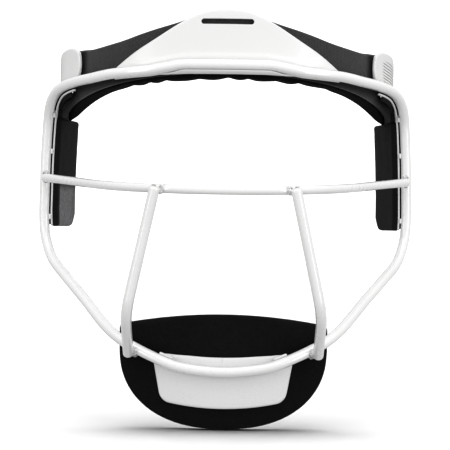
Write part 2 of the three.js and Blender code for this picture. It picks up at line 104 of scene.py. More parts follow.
BAR_END = (92.6, 37.8)
BAR_FRONT = (-57, -71.9)
BAR_ARC_RADIUS = 70.6
BAR_ARC_TURN = 62
BAR_RISE = 0.073

CHIN_CENTRE_Y = 61.9
CHIN_WIRE_RADIUS = 90
CHIN_PLATE_THICKNESS = 2
CHIN_PLATE_OUT = CHIN_WIRE_RADIUS - WIRE_RADIUS - WIRE_GAP
CHIN_PAD_OUT = CHIN_PLATE_OUT - CHIN_PLATE_THICKNESS - GAP
CHIN_PAD_THICKNESS = 10
CHIN_WIRE_Z = -158.2
CHIN_LOW_Z = -187
CHIN_LEAN = 5

SIDE_PLATE_THICKNESS = 1
SIDE_PLATE_CLEARANCE = 0.6
SIDE_SPLAY = math.radians(5)
BACKWARD = Vector((-math.sin(SIDE_SPLAY), math.cos(SIDE_SPLAY), 0))
CLIP_WALL, CLIP_GAP = 1.2, 0.05

PLATE_TURN = 33
BAND_TURN, TAIL_TURN = 50, 57.5
PAD_TURN = 67


class Table:
    """Rows of named sizes, read along a smooth curve through them by their first column."""

    def __init__(self, names, *rows):
        self.names = names.split()
        self.rows = rows

    def read(self, name, at):
        rows, pick = self.rows, self.names.index(name)
        last = len(rows) - 1
        rising = 1 if rows[last][0] > rows[0][0] else -1
        i = 0
        while i < last - 1 and (at - rows[i + 1][0]) * rising > 0:
            i += 1

        def slope(a, b):
            return (rows[b][pick] - rows[a][pick]) / (rows[b][0] - rows[a][0])

        span = rows[i + 1][0] - rows[i][0]
        here = slope(i, i + 1)
        before = (slope(i - 1, i) + here) / 2 if i > 0 else here
        after = (slope(i + 1, i + 2) + here) / 2 if i < last - 1 else here
        t = min(max((at - rows[i][0]) / span, 0), 1)
        t2, t3 = t * t, t * t * t
        return (
            rows[i][pick] * (2 * t3 - 3 * t2 + 1)
            + before * span * (t3 - 2 * t2 + t)
            + rows[i + 1][pick] * (3 * t2 - 2 * t3)
            + after * span * (t3 - t2)
        )


# The cage: its perimeter from the brow to the chin, its uprights and its welds. The points
# are (x, y, z).
TOP_WIRE = Table(
    "turn z",
    (0, -10.4), (7, -10.4), (12, -10.5), (14.7, -11.2), (17.5, -12), (21, -12.95),
    (27, -13.65), (33, -14.3), (40, -16), (45.5, -17.2), (51, -18.9), (54.5, -21),
)
CHEEK_WIRE = (
    (88.5, 30.8, -24), (90.5, 35, -28.6), (91.6, 38.8, -35), (92.4, 41, -45), (93, 42, -57),
    (93.3, 42.2, -72), (93.4, 42, -84), (92.8, 41, -92), (91, 38, -99.5), (87.6, 32.4, -106.7),
    (79.3, 21.6, -115.8), (70.1, 10.3, -125.2), (58.3, -4.8, -137.8), (53, -10.2, -142.2),
    (48.4, -13.8, -145.2),
)
CHIN_WIRE = Table("x rise", (0, 0), (12, 0.7), (24, 2.7), (36.2, 7.3), (42.6, 10.2))
UPRIGHT = ((33, -53.85, -71.6), (46.2, -43.6, -130.4), (45.9, -18.5, -150.5))
UPRIGHT_BEND_REACH = 9
WIRE_STEP, DOME_HEIGHT = 1.3, 0.45
HEAD_POINTS, FOOT_POINTS, BAR_END_POINTS, NEAR_TIP = 20, 25, 12, 25
WELD_REACH, WELD_SINK, WELD_SIDES, WELD_VOXEL, WELD_MARKS = 6, 0.15, 20, 0.34, 4
BEAD_PITCH, BEAD_TAPER, BEAD_INNER, BEAD_OUTER = 0.7, 0.06, 1.05, 0.8
FOOT_BEAD, FOOT_SPILL = 1.45, 2.6

# The brow plate, its slot, and the lip and the fold of its gutter
PLATE_TOP = Table(
    "turn z", (0, 17.3), (5, 16.5), (10, 13.2), (20.5, 2.6), (27, -4.1), (33, -11.4)
)
SLOT_WIDTH, SLOT_HEIGHT, SLOT_Z = 25.7, 2.7, 10.9
LIP_MIDDLE, LIP_ENDS, LIP_FROM, LIP_TO = 136, 50, 11, 19.5
LIP_TIP, LIP_TIP_ENDS, LIP_TAPER = 0.45, 1.7, 3.2
FOLD_OUT, FOLD_ABOVE_WIRE, FOLD_REACH, FOLD_ROOM = 0.45, 4, 1.2, 6
SLOT_BEVEL, SLOT_BEVEL_FROM = 0.35, math.radians(50)

# The band, with painted shade on its facing at its tail, beside the tab and below the wire
BAND = Table(
    "turn low high",
    (0, -14.2, 14.6), (6, -14.2, 14.4), (10.2, -14.4, 13), (14.3, -14.9, 10.7), (20.6, -15.8, 7.8),
    (25, -16.7, 5.7), (31.3, -18.2, 2.6), (36.4, -19.9, 0.8), (42, -22.2, -0.8),
    (46.5, -24.6, -1.5), (50, -26.8, -1.6),
)
BAND_TAIL = Table(
    "turn low high", (50, -26.8, -22.1), (54, -30.3, -22.3), (56, -32.9, -24.1), (57.5, -35, -27.2)
)
TAIL_SHADE_TURN, TAIL_SHADE_BELOW, TAB_SHADOW_ABOVE, TAB_SHADOW_REACH = 45, -17, -17, 3.6
WIRE_SHADOW_STRENGTH, WIRE_SHADOW_BELOW, WIRE_SHADOW_REACH = 0.8, 2, 3

# The brow pad, with the waves in its lower edge
PAD = Table(
    "turn low high thickness",
    (0, -15.8, 12.5, 9.2), (10, -16.8, 10.6, 9.2), (20, -17.5, 7, 9.2), (30, -18.7, 2.8, 9.2),
    (40, -21.8, -1.8, 9.2), (48, -25.6, -5, 9.2), (53, -28.6, -14, 8.6), (57, -31.1, -22, 6.6),
    (60, -32.9, -23.8, 5), (63, -34, -25.6, 3.4), (67, -35, -28.4, 1.6),
)
WAVE_LENGTH, WAVE_DRIFT, WAVES_END, WAVES_FADE = 14.5, 1.6, 42, 14
PAD_CREASE, PAD_EDGE_ROUNDING = 0.35, 1.3

# The strap and the tabs, whose ribs are placed by parts of a tab's length and height
STRAP = (
    (76.6, 25.6, -12.6), (79.8, 29.9, -12.2), (81.7, 37.5, -11.5), (82.6, 50, -10),
    (82.8, 68, -7.5), (81.4, 95, -3.5), (76.6, 122, 0), (65, 148, 3.4), (46, 171, 7.6),
    (24, 185.4, 10), (0, 190, 10.6),
)
STRAP_WIDTH, STRAP_THICKNESS, STRAP_SLACK = 18, 2, 0.25
STRAP_SEAMS, SEAM_REACH, SEAM_MARGIN = (34, 40), 0.7, 1.4
TAB = Table(
    "along low high",
    (0, -14.6, -1.8), (0.1, -15.4, 0), (0.2, -16.2, 0.3), (0.33, -17.2, -0.7),
    (0.53, -18.7, -2.6), (0.7, -19.8, -4.2), (0.85, -20.2, -5.8), (1, -19.2, -8),
)
TAB_THICKNESS, TAB_FRONT_TURN, TAB_FRONT_BOW, TAB_BACK_Y = 2.2, 47.4, 0.03, 56
TAB_RIBS_LEFT, TAB_RIBS_RIGHT = 0.15, 0.4
TAB_RIBS_END, TAB_RIBS_LOW, TAB_RIBS_HIGH = 0.93, 0.06, 0.76

# The side plates and pads: painted lit patch, dark strip for shade by the wire, corner strip,
# liner
SIDE_PLATE_DEPTH = Table(
    "z depth", (-20, 3), (-23, 3.4), (-24.5, 10), (-27, 24), (-31, 32), (-38, 36), (-84, 36),
    (-90, 32),
)
SIDE_PLATE_FROM_TURN, SIDE_PLATE_LOW_Z = 46.5, -90
SIDE_CLIP_Z = (-32, -51, -85)
SIDE_CLIP_LENGTH, SIDE_CLIP_START, SIDE_CLIP_END = 2.6, -35, 120
SIDE_PAD_TOP, SIDE_PAD_LOW, SIDE_PAD_FRONT, SIDE_PAD_BACK = -34.2, -89.8, 0.3, 36
SIDE_PAD_CORNER, SIDE_PAD_CORNER_SLOPE = 9, 0.75
SIDE_PAD_EDGE, SIDE_PAD_CROWN, SIDE_PAD_CROWN_AT = 2.4, 6, 29
EDGE_DROP, EDGE_REACH, BACK_DROP, BACK_REACH, PAD_UNEVENNESS = 0.9, 0.9, 1.6, 3, 0.16
LIT_PATCH_BELOW_Z, LIT_PATCH_FROM, LIT_PATCH_FADE_FROM, LIT_PATCH_FADE_REACH = -66, 3, 20, 16
GAP_SHADE_FRONT, GAP_SHADE_BACK, GAP_SHADE_REACH = 2.7, 7.2, 1.5
CLOSING_TOP, CLOSING_LOW, CLOSING_FRONT, CLOSING_BACK, CLOSING_THICKNESS = -18, -28, 0.7, 3.4, 2
LINER_TOP, LINER_LOW, LINER_FRONT, LINER_MARGIN, LINER_THICKNESS = -24.4, -50, 2.6, 1, 1

# The chin plate and its pad
CHIN_PLATE_TOP = Table("x rise", (0, 6.5), (22, 5.2), (30, 2.8), (34, -1))
CHIN_PLATE_HALF, CHIN_PLATE_TAPER, CHIN_PLATE_LOW, CHIN_PLATE_LOW_RISE = 34, 3, -176.6, 3.4
CHIN_PLATE_CORNER, CHIN_PLATE_CORNER_RISE = 0.84, 5
CHIN_CLIP_X, CHIN_CLIP_LENGTH, CHIN_CLIP_START, CHIN_CLIP_END = 28.4, 7, -150, 15
CHIN_PAD_HALF, CHIN_PAD_TOP, CHIN_PAD_TOP_FALL, CHIN_PAD_SHOULDER = 51, -131.4, 6, -148
CHIN_PAD_FULLNESS, CHIN_PAD_UNEVENNESS = 2.3, 0.3
CHIN_MARK_HEIGHT, CHIN_MARK_HALF, CHIN_MARK_OUT = 6, 0.4, 0.22

# The stage, in metres
WHITE = (1, 1, 1, 1)
BACKDROP = 1.05
AIM = Vector((0, 0.02, -0.08))
FLOOR_HALF, FLOOR_CENTRE_Y, FLOOR_GAP = 3, 1, 0.0006


# ------------------------------------------------------------------ settings


def number_setting(name, description, default, unit="NONE"):
    return bpy.props.FloatProperty(name=name, description=description, default=default, unit=unit)


def colour_setting(name, description, *channels):
    return bpy.props.FloatVectorProperty(
        name=name, description=description, subtype="COLOR", size=4, default=(*channels, 1)
    )


class MaskSizes(bpy.types.PropertyGroup):
    """Sizes of the small features that only the finished surfaces have."""

    wire_sides: bpy.props.IntProperty(
        name="Wire Sides", description="Faces round the cage wire", default=28, min=12
    )
    bead_radius: number_setting(
        "Weld Bead", "Radius of the run of weld in a corner between wires", 0.0013, "LENGTH"
    )
    pad_rounding: number_setting(
        "Pad Rounding", "Radius of the foam pads' edges", 0.0016, "LENGTH"
    )
    pad_waves: number_setting(
        "Pad Waves", "Height of the waves in the brow pad's lower edge", 0.0009, "LENGTH"
    )
    rib_pitch: number_setting(
        "Rib Pitch", "Spacing of the grip ribs on the tabs", 0.0015, "LENGTH"
    )


class MaskColours(bpy.types.PropertyGroup):
    """Colours of the mask's finishes."""

    coat: colour_setting("Powder Coat", "Coating of the wire cage", 0.85, 0.85, 0.845)
    plastic: colour_setting("Plastic", "Moulded plates and tabs", 0.84, 0.84, 0.835)
    grained: colour_setting("Grained Plastic", "Plate at the chin", 0.8, 0.8, 0.8)
    knit: colour_setting("Knit", "Facing of the head band", 0.058, 0.058, 0.06)
    foam: colour_setting("Foam", "Skin of the foam pads", 0.014, 0.014, 0.0145)
    pile: colour_setting("Pile", "Brushed cloth on the side pads", 0.018, 0.018, 0.0185)
    webbing: colour_setting("Webbing", "Elastic of the rear strap", 0.03, 0.03, 0.031)


class MaskStage(bpy.types.PropertyGroup):
    """The floor, the lights and the camera."""

    floor: colour_setting("Floor", "Colour of the floor", 0.06, 0.06, 0.06)
    left_power: number_setting("Left Light", "Strip light on the left", 2, "POWER")
    right_power: number_setting("Right Light", "Strip light on the right", 3, "POWER")
    top_power: number_setting("Top Light", "Strip light overhead", 3, "POWER")
    overhead: number_setting("Overhead Lights", "Strength of the lights on the floor", 28)
    ambient: number_setting("Ambient", "Strength of the light from all round", 0.45)
    frontal: number_setting("Frontal", "Part of the ambient light from the front", 0.35)
    surround: number_setting("Surround", "Strength that mirrored walls add", 0.28)
    distance: number_setting("Camera Distance", "From camera to brow", 0.905, "LENGTH")
    height: number_setting("Camera Height", "Camera above the brow", -0.088, "LENGTH")
    lens: number_setting("Lens", "Focal length of the camera", 146.8, "CAMERA")
    roll: number_setting("Roll", "Tilt about the camera's view", math.radians(0.8), "ROTATION")


# ------------------------------------------------------------------ finishes


class Value:
    """A number or colour that varies over a surface. Arithmetic on it adds Math nodes."""

    def __init__(self, finish, socket):
        self.finish = finish
        self.socket = socket

    def maths(self, operation, *numbers):
        kind = {"operation": operation}
        return self.finish.node("ShaderNodeMath", kind, dict(enumerate(numbers)))

    def __add__(self, other):
        return self.maths("ADD", self, other)

    def __sub__(self, other):
        return self.maths("SUBTRACT", self, other)

    def __rsub__(self, other):
        return self.maths("SUBTRACT", other, self)

    def __mul__(self, other):
        return self.maths("MULTIPLY", self, other)

    __radd__ = __add__
    __rmul__ = __mul__

    def size(self):
        return self.maths("ABSOLUTE", self)

    def wave(self, pitch, shift=None):
        """A sine wave over the value, moved along by `shift`."""
        angle = self * (2 * math.pi / pitch)
        return self.maths("SINE", angle + shift if shift else angle)

    def above(self, edge, softness):
        """0 below `edge`, 1 above it, with a ramp of `softness` between."""
        return self.finish.node(
            "ShaderNodeMapRange",
            {"interpolation_type": "SMOOTHSTEP"},
            {"Value": self, "From Min": edge - softness / 2, "From Max": edge + softness / 2},
        )


class Nodes:
    """A node tree that is built up from values."""

    def __init__(self, tree):
        self.tree = tree

    def feed(self, socket, value):
        if isinstance(value, Value):
            self.tree.links.new(value.socket, socket)
        else:
            socket.default_value = value

    def node(self, kind, settings=None, values=None, output=0):
        made = self.tree.nodes.new(kind)
        for name, value in (settings or {}).items():
            setattr(made, name, value)
        for name, value in (values or {}).items():
            self.feed(made.inputs[name], value)
        return Value(self, made.outputs[output])


class Finish(Nodes):
    """A material with one Principled shader."""

    def __init__(self, name, **sockets):
        self.material = bpy.data.materials.new(name)
        self.material.use_nodes = True
        super().__init__(self.material.node_tree)
        self.set(**sockets)

    def set(self, **sockets):
        """Feeds sockets of the shader, whose names have _ for each space."""
        shader = self.tree.nodes["Principled BSDF"]
        for name, value in sockets.items():
            self.feed(shader.inputs[name.replace("_", " ")], value)

    def place(self):
        return self.node("ShaderNodeTexCoord", output="Object")

    def pattern(self):
        """(millimetres along, millimetres across, mask) of a piece that carries them."""
        read = self.node("ShaderNodeAttribute", {"attribute_name": "pattern"}, output="Vector")
        split = self.tree.nodes.new("ShaderNodeSeparateXYZ")
        self.feed(split.inputs[0], read)
        return [Value(self, split.outputs[i]) for i in range(3)]

    def noise(self, scale, detail, roughness=0.5):
        """Cloudy variation from 0 to 1, with `scale` lumps in a metre."""
        values = {"Scale": scale, "Detail": detail, "Roughness": roughness}
        return self.node("ShaderNodeTexNoise", None, {"Vector": self.place(), **values})

    def cells(self, scale):
        return self.node("ShaderNodeTexVoronoi", None, {"Vector": self.place(), "Scale": scale})

    def mix(self, factor, first, second):
        return self.node(
            "ShaderNodeMix", {"data_type": "RGBA"}, {0: factor, 6: first, 7: second}, output=2
        )

    def shades(self, factor, colour, first, second):
        """From one shade of a colour to another."""
        return self.mix(factor, shade(colour, first), shade(colour, second))

    def bumped(self, height, distance):
        """The material, where a height of 1 stands out by `distance` in metres."""
        values = {"Height": height, "Distance": distance, "Strength": 1}
        self.set(Normal=self.node("ShaderNodeBump", None, values))
        return self.material


def shade(colour, factor):
    """A colour made lighter or darker."""
    return (*(min(1, channel * factor) for channel in colour[:3]), 1)


def powder_coat(name, colour):
    """Sprayed and baked coating: glossy, with a faint orange peel, and dull over the welds."""
    finish = Finish(name, IOR=1.5, Coat_Roughness=0.08, Coat_IOR=1.9)
    _, _, weld = finish.pattern()
    peel = finish.noise(420, 2)
    cloud = finish.noise(28, 3)
    pits = finish.noise(1100, 3, 0.7)
    grit = finish.noise(1500, 1)
    dirt = weld * pits.above(0.46, 0.2)
    clean = finish.shades(cloud.above(0.55, 0.5), colour, 1, 0.95)
    finish.set(
        Base_Color=finish.mix(dirt * 0.9, clean, shade(colour, 0.2)),
        Roughness=0.2 + 0.12 * peel + 0.06 * cloud + 0.3 * weld,
        Coat_Weight=(0.75 + 0.25 * cloud) * (1 - weld),
    )
    return finish.bumped(0.2 * peel + 0.1 * grit + 2.5 * pits * weld, 0.00016)


def moulded_plastic(name, colour, graininess):
    """Injection-moulded plastic: satin, with flow marks and fine scuffs, or a sparked grain."""
    finish = Finish(name, IOR=1.49, Coat_Roughness=0.1)
    flow = finish.noise(14, 2)
    grain = finish.noise(1300, 3, 0.6)
    scuff = finish.noise(160, 4, 0.7).above(0.6, 0.2)
    patch = finish.noise(35, 2).above(0.5, 0.4) * graininess
    speck = 3.5 * (grain - 0.5) * patch
    finish.set(
        Base_Color=finish.shades(flow.above(0.5, 0.6) + speck, colour, 1, 0.94),
        Roughness=0.24 + 0.1 * flow + 0.14 * scuff + 0.2 * graininess,
        Coat_Weight=(0.3 - 0.2 * scuff) * (1 - graininess * 0.8),
    )
    return finish.bumped(grain * (0.12 + patch) + 0.05 * scuff, 0.00009)


def ribbed_plastic(name, colour, pitch):
    """The tabs' plastic, with slanting grip ribs over their rear part, and painted shade in their
    grooves.
    """
    finish = Finish(name, IOR=1.49, Coat_Roughness=0.12)
    along, across, mask = finish.pattern()
    ribs = (0.35 * along + across).wave(pitch / MM).above(0.1, 0.7) * mask
    grain = finish.noise(2400, 2)
    flow = finish.noise(18, 2)
    ground = finish.shades(0.8 * mask + 0.2 * flow, colour, 0.9, 1.08)
    # Painted shade: the rib grooves are darkened in colour as well as bumped; the ground is paler
    # over the ribs
    finish.set(
        Base_Color=finish.mix(0.85 * ribs, ground, shade(colour, 0.4)),
        Roughness=0.3 + 0.12 * flow + 0.1 * mask,
    )
    return finish.bumped(0.04 * grain - ribs, 0.00028)


def knitted_facing(name, colour):
    """Fine warp-knitted cloth glued over the band: slanted loops; painted shade and edge
    highlight.
    """
    finish = Finish(name, Sheen_Roughness=0.45)
    along, across, painted_shade = finish.pattern()
    loops = along.wave(0.85, 1.1 * across.wave(1.3))
    cloth = 0.5 + 0.3 * loops + 0.2 * across.wave(0.65)
    nap = finish.noise(900, 3, 0.65)
    cloud = finish.noise(90, 4, 0.6)
    # A painted highlight along the lower edge, out along the band's sides
    edge_highlight = along.size().above(58, 10) * (1 - across.above(0, 5))
    yarn = 0.9 * (nap - 0.5) + 0.35 * cloth + 0.35 * cloud + 0.9 * edge_highlight
    faced = finish.shades(yarn, colour, 0.55, 1.75)
    # Painted shade darkens the facing, less under the painted highlight, and takes away its sheen
    finish.set(
        Base_Color=finish.mix(painted_shade * (0.95 - 0.6 * edge_highlight), faced, shade(colour, 0.1)),
        Roughness=0.82 + 0.12 * nap,
        Sheen_Weight=0.35 * (1 - painted_shade),
    )
    return finish.bumped(cloth + 0.6 * nap, 0.00022)


def foam_skin(name, colour):
    """Closed-cell foam: a dull skin with fine open pores."""
    finish = Finish(name, Specular_IOR_Level=0.1)
    pores = finish.cells(1500)
    skin_over = finish.noise(260, 4, 0.6)
    finish.set(
        Base_Color=finish.shades(0.6 * skin_over + 0.4 * pores, colour, 0.6, 1.7),
        Roughness=0.8 + 0.15 * skin_over,
    )
    return finish.bumped(0.6 * pores + 0.5 * skin_over, 0.00014)


def brushed_cloth(name, colour):
    """Looped pile laminated to foam: matt, with a mottled painted lit patch where marked."""
    finish = Finish(name, Specular_IOR_Level=0.2, Sheen_Weight=0.05)
    _, _, brushed = finish.pattern()
    nap = finish.noise(110, 4, 0.6)
    fibres = finish.noise(1700, 3, 0.7)
    mottle = finish.noise(700, 3, 0.75).above(0.45, 0.5)
    pile = 0.7 * nap + 0.9 * (fibres - 0.5)
    smooth = finish.shades(pile, colour, 0.6, 1.7)
    # Painted light: the lit patch is mixed towards a far paler shade of the pile
    paler = brushed * (0.5 * mottle + 0.3 * pile + 0.3)
    finish.set(
        Base_Color=finish.mix(paler, smooth, shade(colour, 18)),
        Roughness=0.85 + 0.1 * nap,
    )
    return finish.bumped(fibres + 0.8 * nap, 0.00025)


def elastic_webbing(name, colour):
    """Woven elastic: ribs along the strap crossed by fine picks, with plain edges."""
    finish = Finish(name, Sheen_Weight=0.25, Sheen_Roughness=0.4)
    along, across, stitched = finish.pattern()
    ribs = across.wave(1.2)
    picks = along.wave(0.7, 0.9 * ribs)
    fuzz = finish.noise(1200, 3, 0.6)
    weave = 0.5 + 0.3 * ribs + 0.2 * picks
    finish.set(
        Base_Color=finish.shades(0.6 * weave + 0.8 * (fuzz - 0.5), colour, 0.5, 1.9),
        Roughness=0.78 + 0.14 * fuzz,
    )
    return finish.bumped(weave + 0.3 * fuzz - 0.8 * stitched, 0.0003)


# ------------------------------------------------------------------ mesh building


def mesh_of(name, bm):
    """A mesh made of a bmesh, which it uses up."""
    mesh = bpy.data.meshes.new(name)
    bm.to_mesh(mesh)
    bm.free()
    return mesh


def linked(name, data):
    """An object of that data, put in the scene."""
    made = bpy.data.objects.new(name, data)
    bpy.context.scene.collection.objects.link(made)
    return made


def discard(scratch):
    """Takes an object and its mesh away again."""
    mesh = scratch.data
    bpy.data.objects.remove(scratch)
    bpy.data.meshes.remove(mesh)


def in_metres(bm):
    bmesh.ops.scale(bm, vec=(MM, MM, MM), verts=bm.verts)
    return bm


def finish_piece(name, bm, material, node):
    """Makes an object of a bmesh in millimetres, which stands for a CAD node."""
    mesh = mesh_of(name, in_metres(bm))
    mesh.materials.append(material)
    mesh.shade_smooth()
    piece = linked(name, mesh)
    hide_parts(node)
    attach(piece, "root")
    return piece


def finish_pair(name, node, left, right, material):
    """Finishes the pieces of both sides, where `right` is built on the left and mirrored."""
    return [
        finish_piece(f"{name}_{side}", bm, material, f"{node}_{side}")
        for side, bm in (("left", left), ("right", mirror_x(right)))
    ]


def material_named(name, make, *values):
    """The finish of that name, made once."""
    return bpy.data.materials.get(name) or make(name, *values)


class PieceBuilder:
    """What the operators share, each of which builds one piece or a pair."""

    def execute(self, context):
        self.build(context.scene.mask_sizes, context.scene.mask_colours)
        return {"FINISHED"}


def on_head(turn, out, z):
    """A point `out` mm outside the forehead, `turn` degrees round the head."""
    angle = math.radians(turn)
    radius = HEAD_RADIUS + out
    return Vector((radius * math.sin(angle), HEAD_RADIUS - radius * math.cos(angle), z))


def on_chin(x, radius, z):
    """A point on an arc of `radius` round the chin, `x` mm from the middle."""
    return Vector((x, CHIN_CENTRE_Y - math.sqrt(radius * radius - x * x), z))


def lerp(a, b, t):
    return a + (b - a) * t


def ease(t):
    t = min(max(t, 0), 1)
    return t * t * (3 - 2 * t)


def distances(points):
    """How far along the straight runs between the points each of them is."""
    made = [0.0]
    for a, b in zip(points, points[1:]):
        made.append(made[-1] + (b - a).length)
    return made


def run_at(lengths, distance):
    """Which of the straight runs reaches as far as `distance`."""
    return min(bisect_left(lengths, distance, 1) - 1, len(lengths) - 2)


def evenly(points, spacing, closed):
    """Points about `spacing` apart on straight runs between the given ones."""
    lengths = distances(points)
    count = max(2, round(lengths[-1] / spacing))
    made = []
    for step in range(count if closed else count + 1):
        at = lengths[-1] * step / count
        i = run_at(lengths, at)
        span = lengths[i + 1] - lengths[i]
        made.append(points[i].lerp(points[i + 1], (at - lengths[i]) / span))
    return made


def mirrored(points):
    """The points of the other side, from the last to the first."""
    return [Vector((-p.x, p.y, p.z)) for p in reversed(points)]


def curve(points, spacing, closed=False):
    """Even points on a centripetal Catmull-Rom curve through the given ones."""
    points = [Vector(p) for p in points]
    if closed:
        knots = [points[-1], *points, points[0], points[1]]
    else:
        knots = [points[0] * 2 - points[1], *points, points[-1] * 2 - points[-2]]
    dense = []
    for before, start, end, after in zip(knots, knots[1:], knots[2:], knots[3:]):
        t1 = (start - before).length ** 0.5
        t2 = t1 + (end - start).length ** 0.5
        t3 = t2 + (after - end).length ** 0.5
        for step in range(20):
            t = t1 + (t2 - t1) * step / 20
            first = before.lerp(start, t / t1)
            second = start.lerp(end, (t - t1) / (t2 - t1))
            third = end.lerp(after, (t - t2) / (t3 - t2))
            lower = first.lerp(second, t / t2)
            upper = second.lerp(third, (t - t1) / (t3 - t1))
            dense.append(lower.lerp(upper, (t - t1) / (t2 - t1)))
    dense.append(dense[0] if closed else points[-1])
    return evenly(dense, spacing, closed)


def frames_along(path, closed=False):
    """(point, tangent, side, other side) at each point of a path."""
    count = len(path)
    middle = sum(path, Vector()) / count
    frames, side = [], None
    for i, point in enumerate(path):
        ahead = path[(i + 1) % count] if closed or i + 1 < count else point
        behind = path[i - 1] if closed or i else point
        tangent = (ahead - behind).normalized()
        if closed:
            side = point - middle
        elif side is None:
            side = tangent.orthogonal()
        side = (side - tangent * side.dot(tangent)).normalized()
        frames.append((point, tangent, side, tangent.cross(side)))
    return frames


def skin(rings, closed=False, pattern=None):
    """A closed surface through rings of points, with its ends capped.

    `pattern` holds a vector for each point, which the finish reads back as an attribute.
    """
    if closed:
        rings = [*rings, rings[0]]
    bm = bmesh.new()
    rows, columns = len(rings) - 1, len(rings[0])
    bmesh.ops.create_grid(bm, x_segments=rows, y_segments=columns, size=1)
    layer = bm.verts.layers.float_vector.new("pattern")
    for vert in bm.verts:
        i = round((vert.co.x + 1) / 2 * rows)
        j = round((vert.co.y + 1) / 2 * columns) % columns
        vert.co = rings[i][j]
        if pattern:
            vert[layer] = pattern[i][j]
    bmesh.ops.remove_doubles(bm, verts=bm.verts, dist=1e-4)
    bmesh.ops.holes_fill(bm, edges=[e for e in bm.edges if e.is_boundary], sides=0)
    bmesh.ops.recalc_face_normals(bm, faces=bm.faces)
    return bm


def merged(pieces):
    """One bmesh of several that overlap."""
    whole = bmesh.new()
    whole.verts.layers.float_vector.new("pattern")
    for bm in pieces:
        mesh = mesh_of("part", bm)
        whole.from_mesh(mesh)
        bpy.data.meshes.remove(mesh)
    return whole


def mirror_x(bm):
    """Turns a piece for the wearer's left into the one for the right."""
    bmesh.ops.scale(bm, vec=(-1, 1, 1), verts=bm.verts)
    bmesh.ops.reverse_faces(bm, faces=bm.faces)
    return bm


def rounded_ring(a0, a1, b0, b1, radius, corner=4, runs=1):
    """A rounded rectangle, its long sides split into `runs`."""
    radius = max(0.02, min(radius, (a1 - a0) * 0.49, (b1 - b0) * 0.49))
    centres = (
        (a1 - radius, b1 - radius, 0), (a0 + radius, b1 - radius, 90),
        (a0 + radius, b0 + radius, 180), (a1 - radius, b0 + radius, 270),
    )
    ring = []
    for index, (a, b, start) in enumerate(centres):
        for step in range(corner + 1):
            angle = math.radians(start + 90 * step / corner)
            ring.append((a + radius * math.cos(angle), b + radius * math.sin(angle)))
        if index in (0, 2):
            (here_a, here_b), far = ring[-1], a0 + radius if index == 0 else a1 - radius
            ring += [(lerp(here_a, far, run / runs), here_b) for run in range(1, runs)]
    return ring


def rounded_run(start, end, radius, spacing, steps=4):
    """Stations from start to end, each with how far its ring is drawn in to round the ends."""
    lead = []
    for step in range(steps):
        angle = math.pi / 2 * step / steps
        lead.append((radius * (1 - math.cos(angle)), radius * (1 - math.sin(angle))))
    count = max(1, round((end - start - 2 * radius) / spacing))
    body = [(lerp(start + radius, end - radius, i / count), 0) for i in range(count + 1)]
    return [
        *((start + at, inset) for at, inset in lead),
        *body,
        *((end - at, inset) for at, inset in reversed(lead)),
    ]


def round_head(reach, out, radius, spacing, steps=4):
    """Rounded stations over `reach` degrees each way, as (turn, millimetres along, inset)."""
    degree = math.radians(1) * (HEAD_RADIUS + out)
    for at, inset in rounded_run(-reach * degree, reach * degree, radius, spacing, steps):
        yield at / degree, at, inset


def tube(path, radius, sides, closed=False):
    """A round wire, with domed ends if it is open."""
    frames = frames_along(path, closed)
    stations = [(point, side, other, radius) for point, _, side, other in frames]

    def dome(frame, outward):
        point, tangent, side, other = frame
        made = []
        for step in range(1, 7):
            angle = math.pi / 2 * step / 6
            centre = point + tangent * (outward * radius * math.sin(angle) * DOME_HEIGHT)
            made.append((centre, side, other, radius * math.cos(angle) ** 0.6))
        return made

    if not closed:
        stations = [*reversed(dome(frames[0], -1)), *stations, *dome(frames[-1], 1)]
    turns = [2 * math.pi * i / sides for i in range(sides)]
    rings = [
        [p + (s * math.cos(t) + o * math.sin(t)) * r for t in turns] for p, s, o, r in stations
    ]
    return skin(rings, closed)


# ------------------------------------------------------------------ the cage


def perimeter_points():
    half = [on_head(turn, WIRE_OUT, z) for turn, z in TOP_WIRE.rows]
    half += [Vector(p) for p in CHEEK_WIRE]
    half += [
        on_chin(x, CHIN_WIRE_RADIUS, CHIN_WIRE_Z + rise) for x, rise in reversed(CHIN_WIRE.rows)
    ]
    return [*half, *mirrored(half[1:-1])]


def bar_height(y):
    return BAR_FRONT[1] + BAR_RISE * (y - BAR_FRONT[0])


def cross_bar_points():
    points = []
    for i in range(-12, 13):
        angle = math.radians(BAR_ARC_TURN * i / 12)
        y = BAR_FRONT[0] + BAR_ARC_RADIUS * (1 - math.cos(angle))
        points.append(Vector((BAR_ARC_RADIUS * math.sin(angle), y, bar_height(y))))
    x, y = BAR_END
    return [Vector((-x, y, bar_height(y))), *points, Vector((x, y, bar_height(y)))]


def upright_points(side):
    top, bend, foot = (Vector((side * x, y, z)) for x, y, z in UPRIGHT)
    start = bend + (top - bend).normalized() * UPRIGHT_BEND_REACH
    end = bend + (foot - bend).normalized() * UPRIGHT_BEND_REACH
    rounding = []
    for step in range(9):
        t = step / 8
        rounding.append(start.lerp(bend, t).lerp(bend.lerp(end, t), t))
    return [top, top.lerp(start, 0.5), *rounding, end.lerp(foot, 0.5), foot]


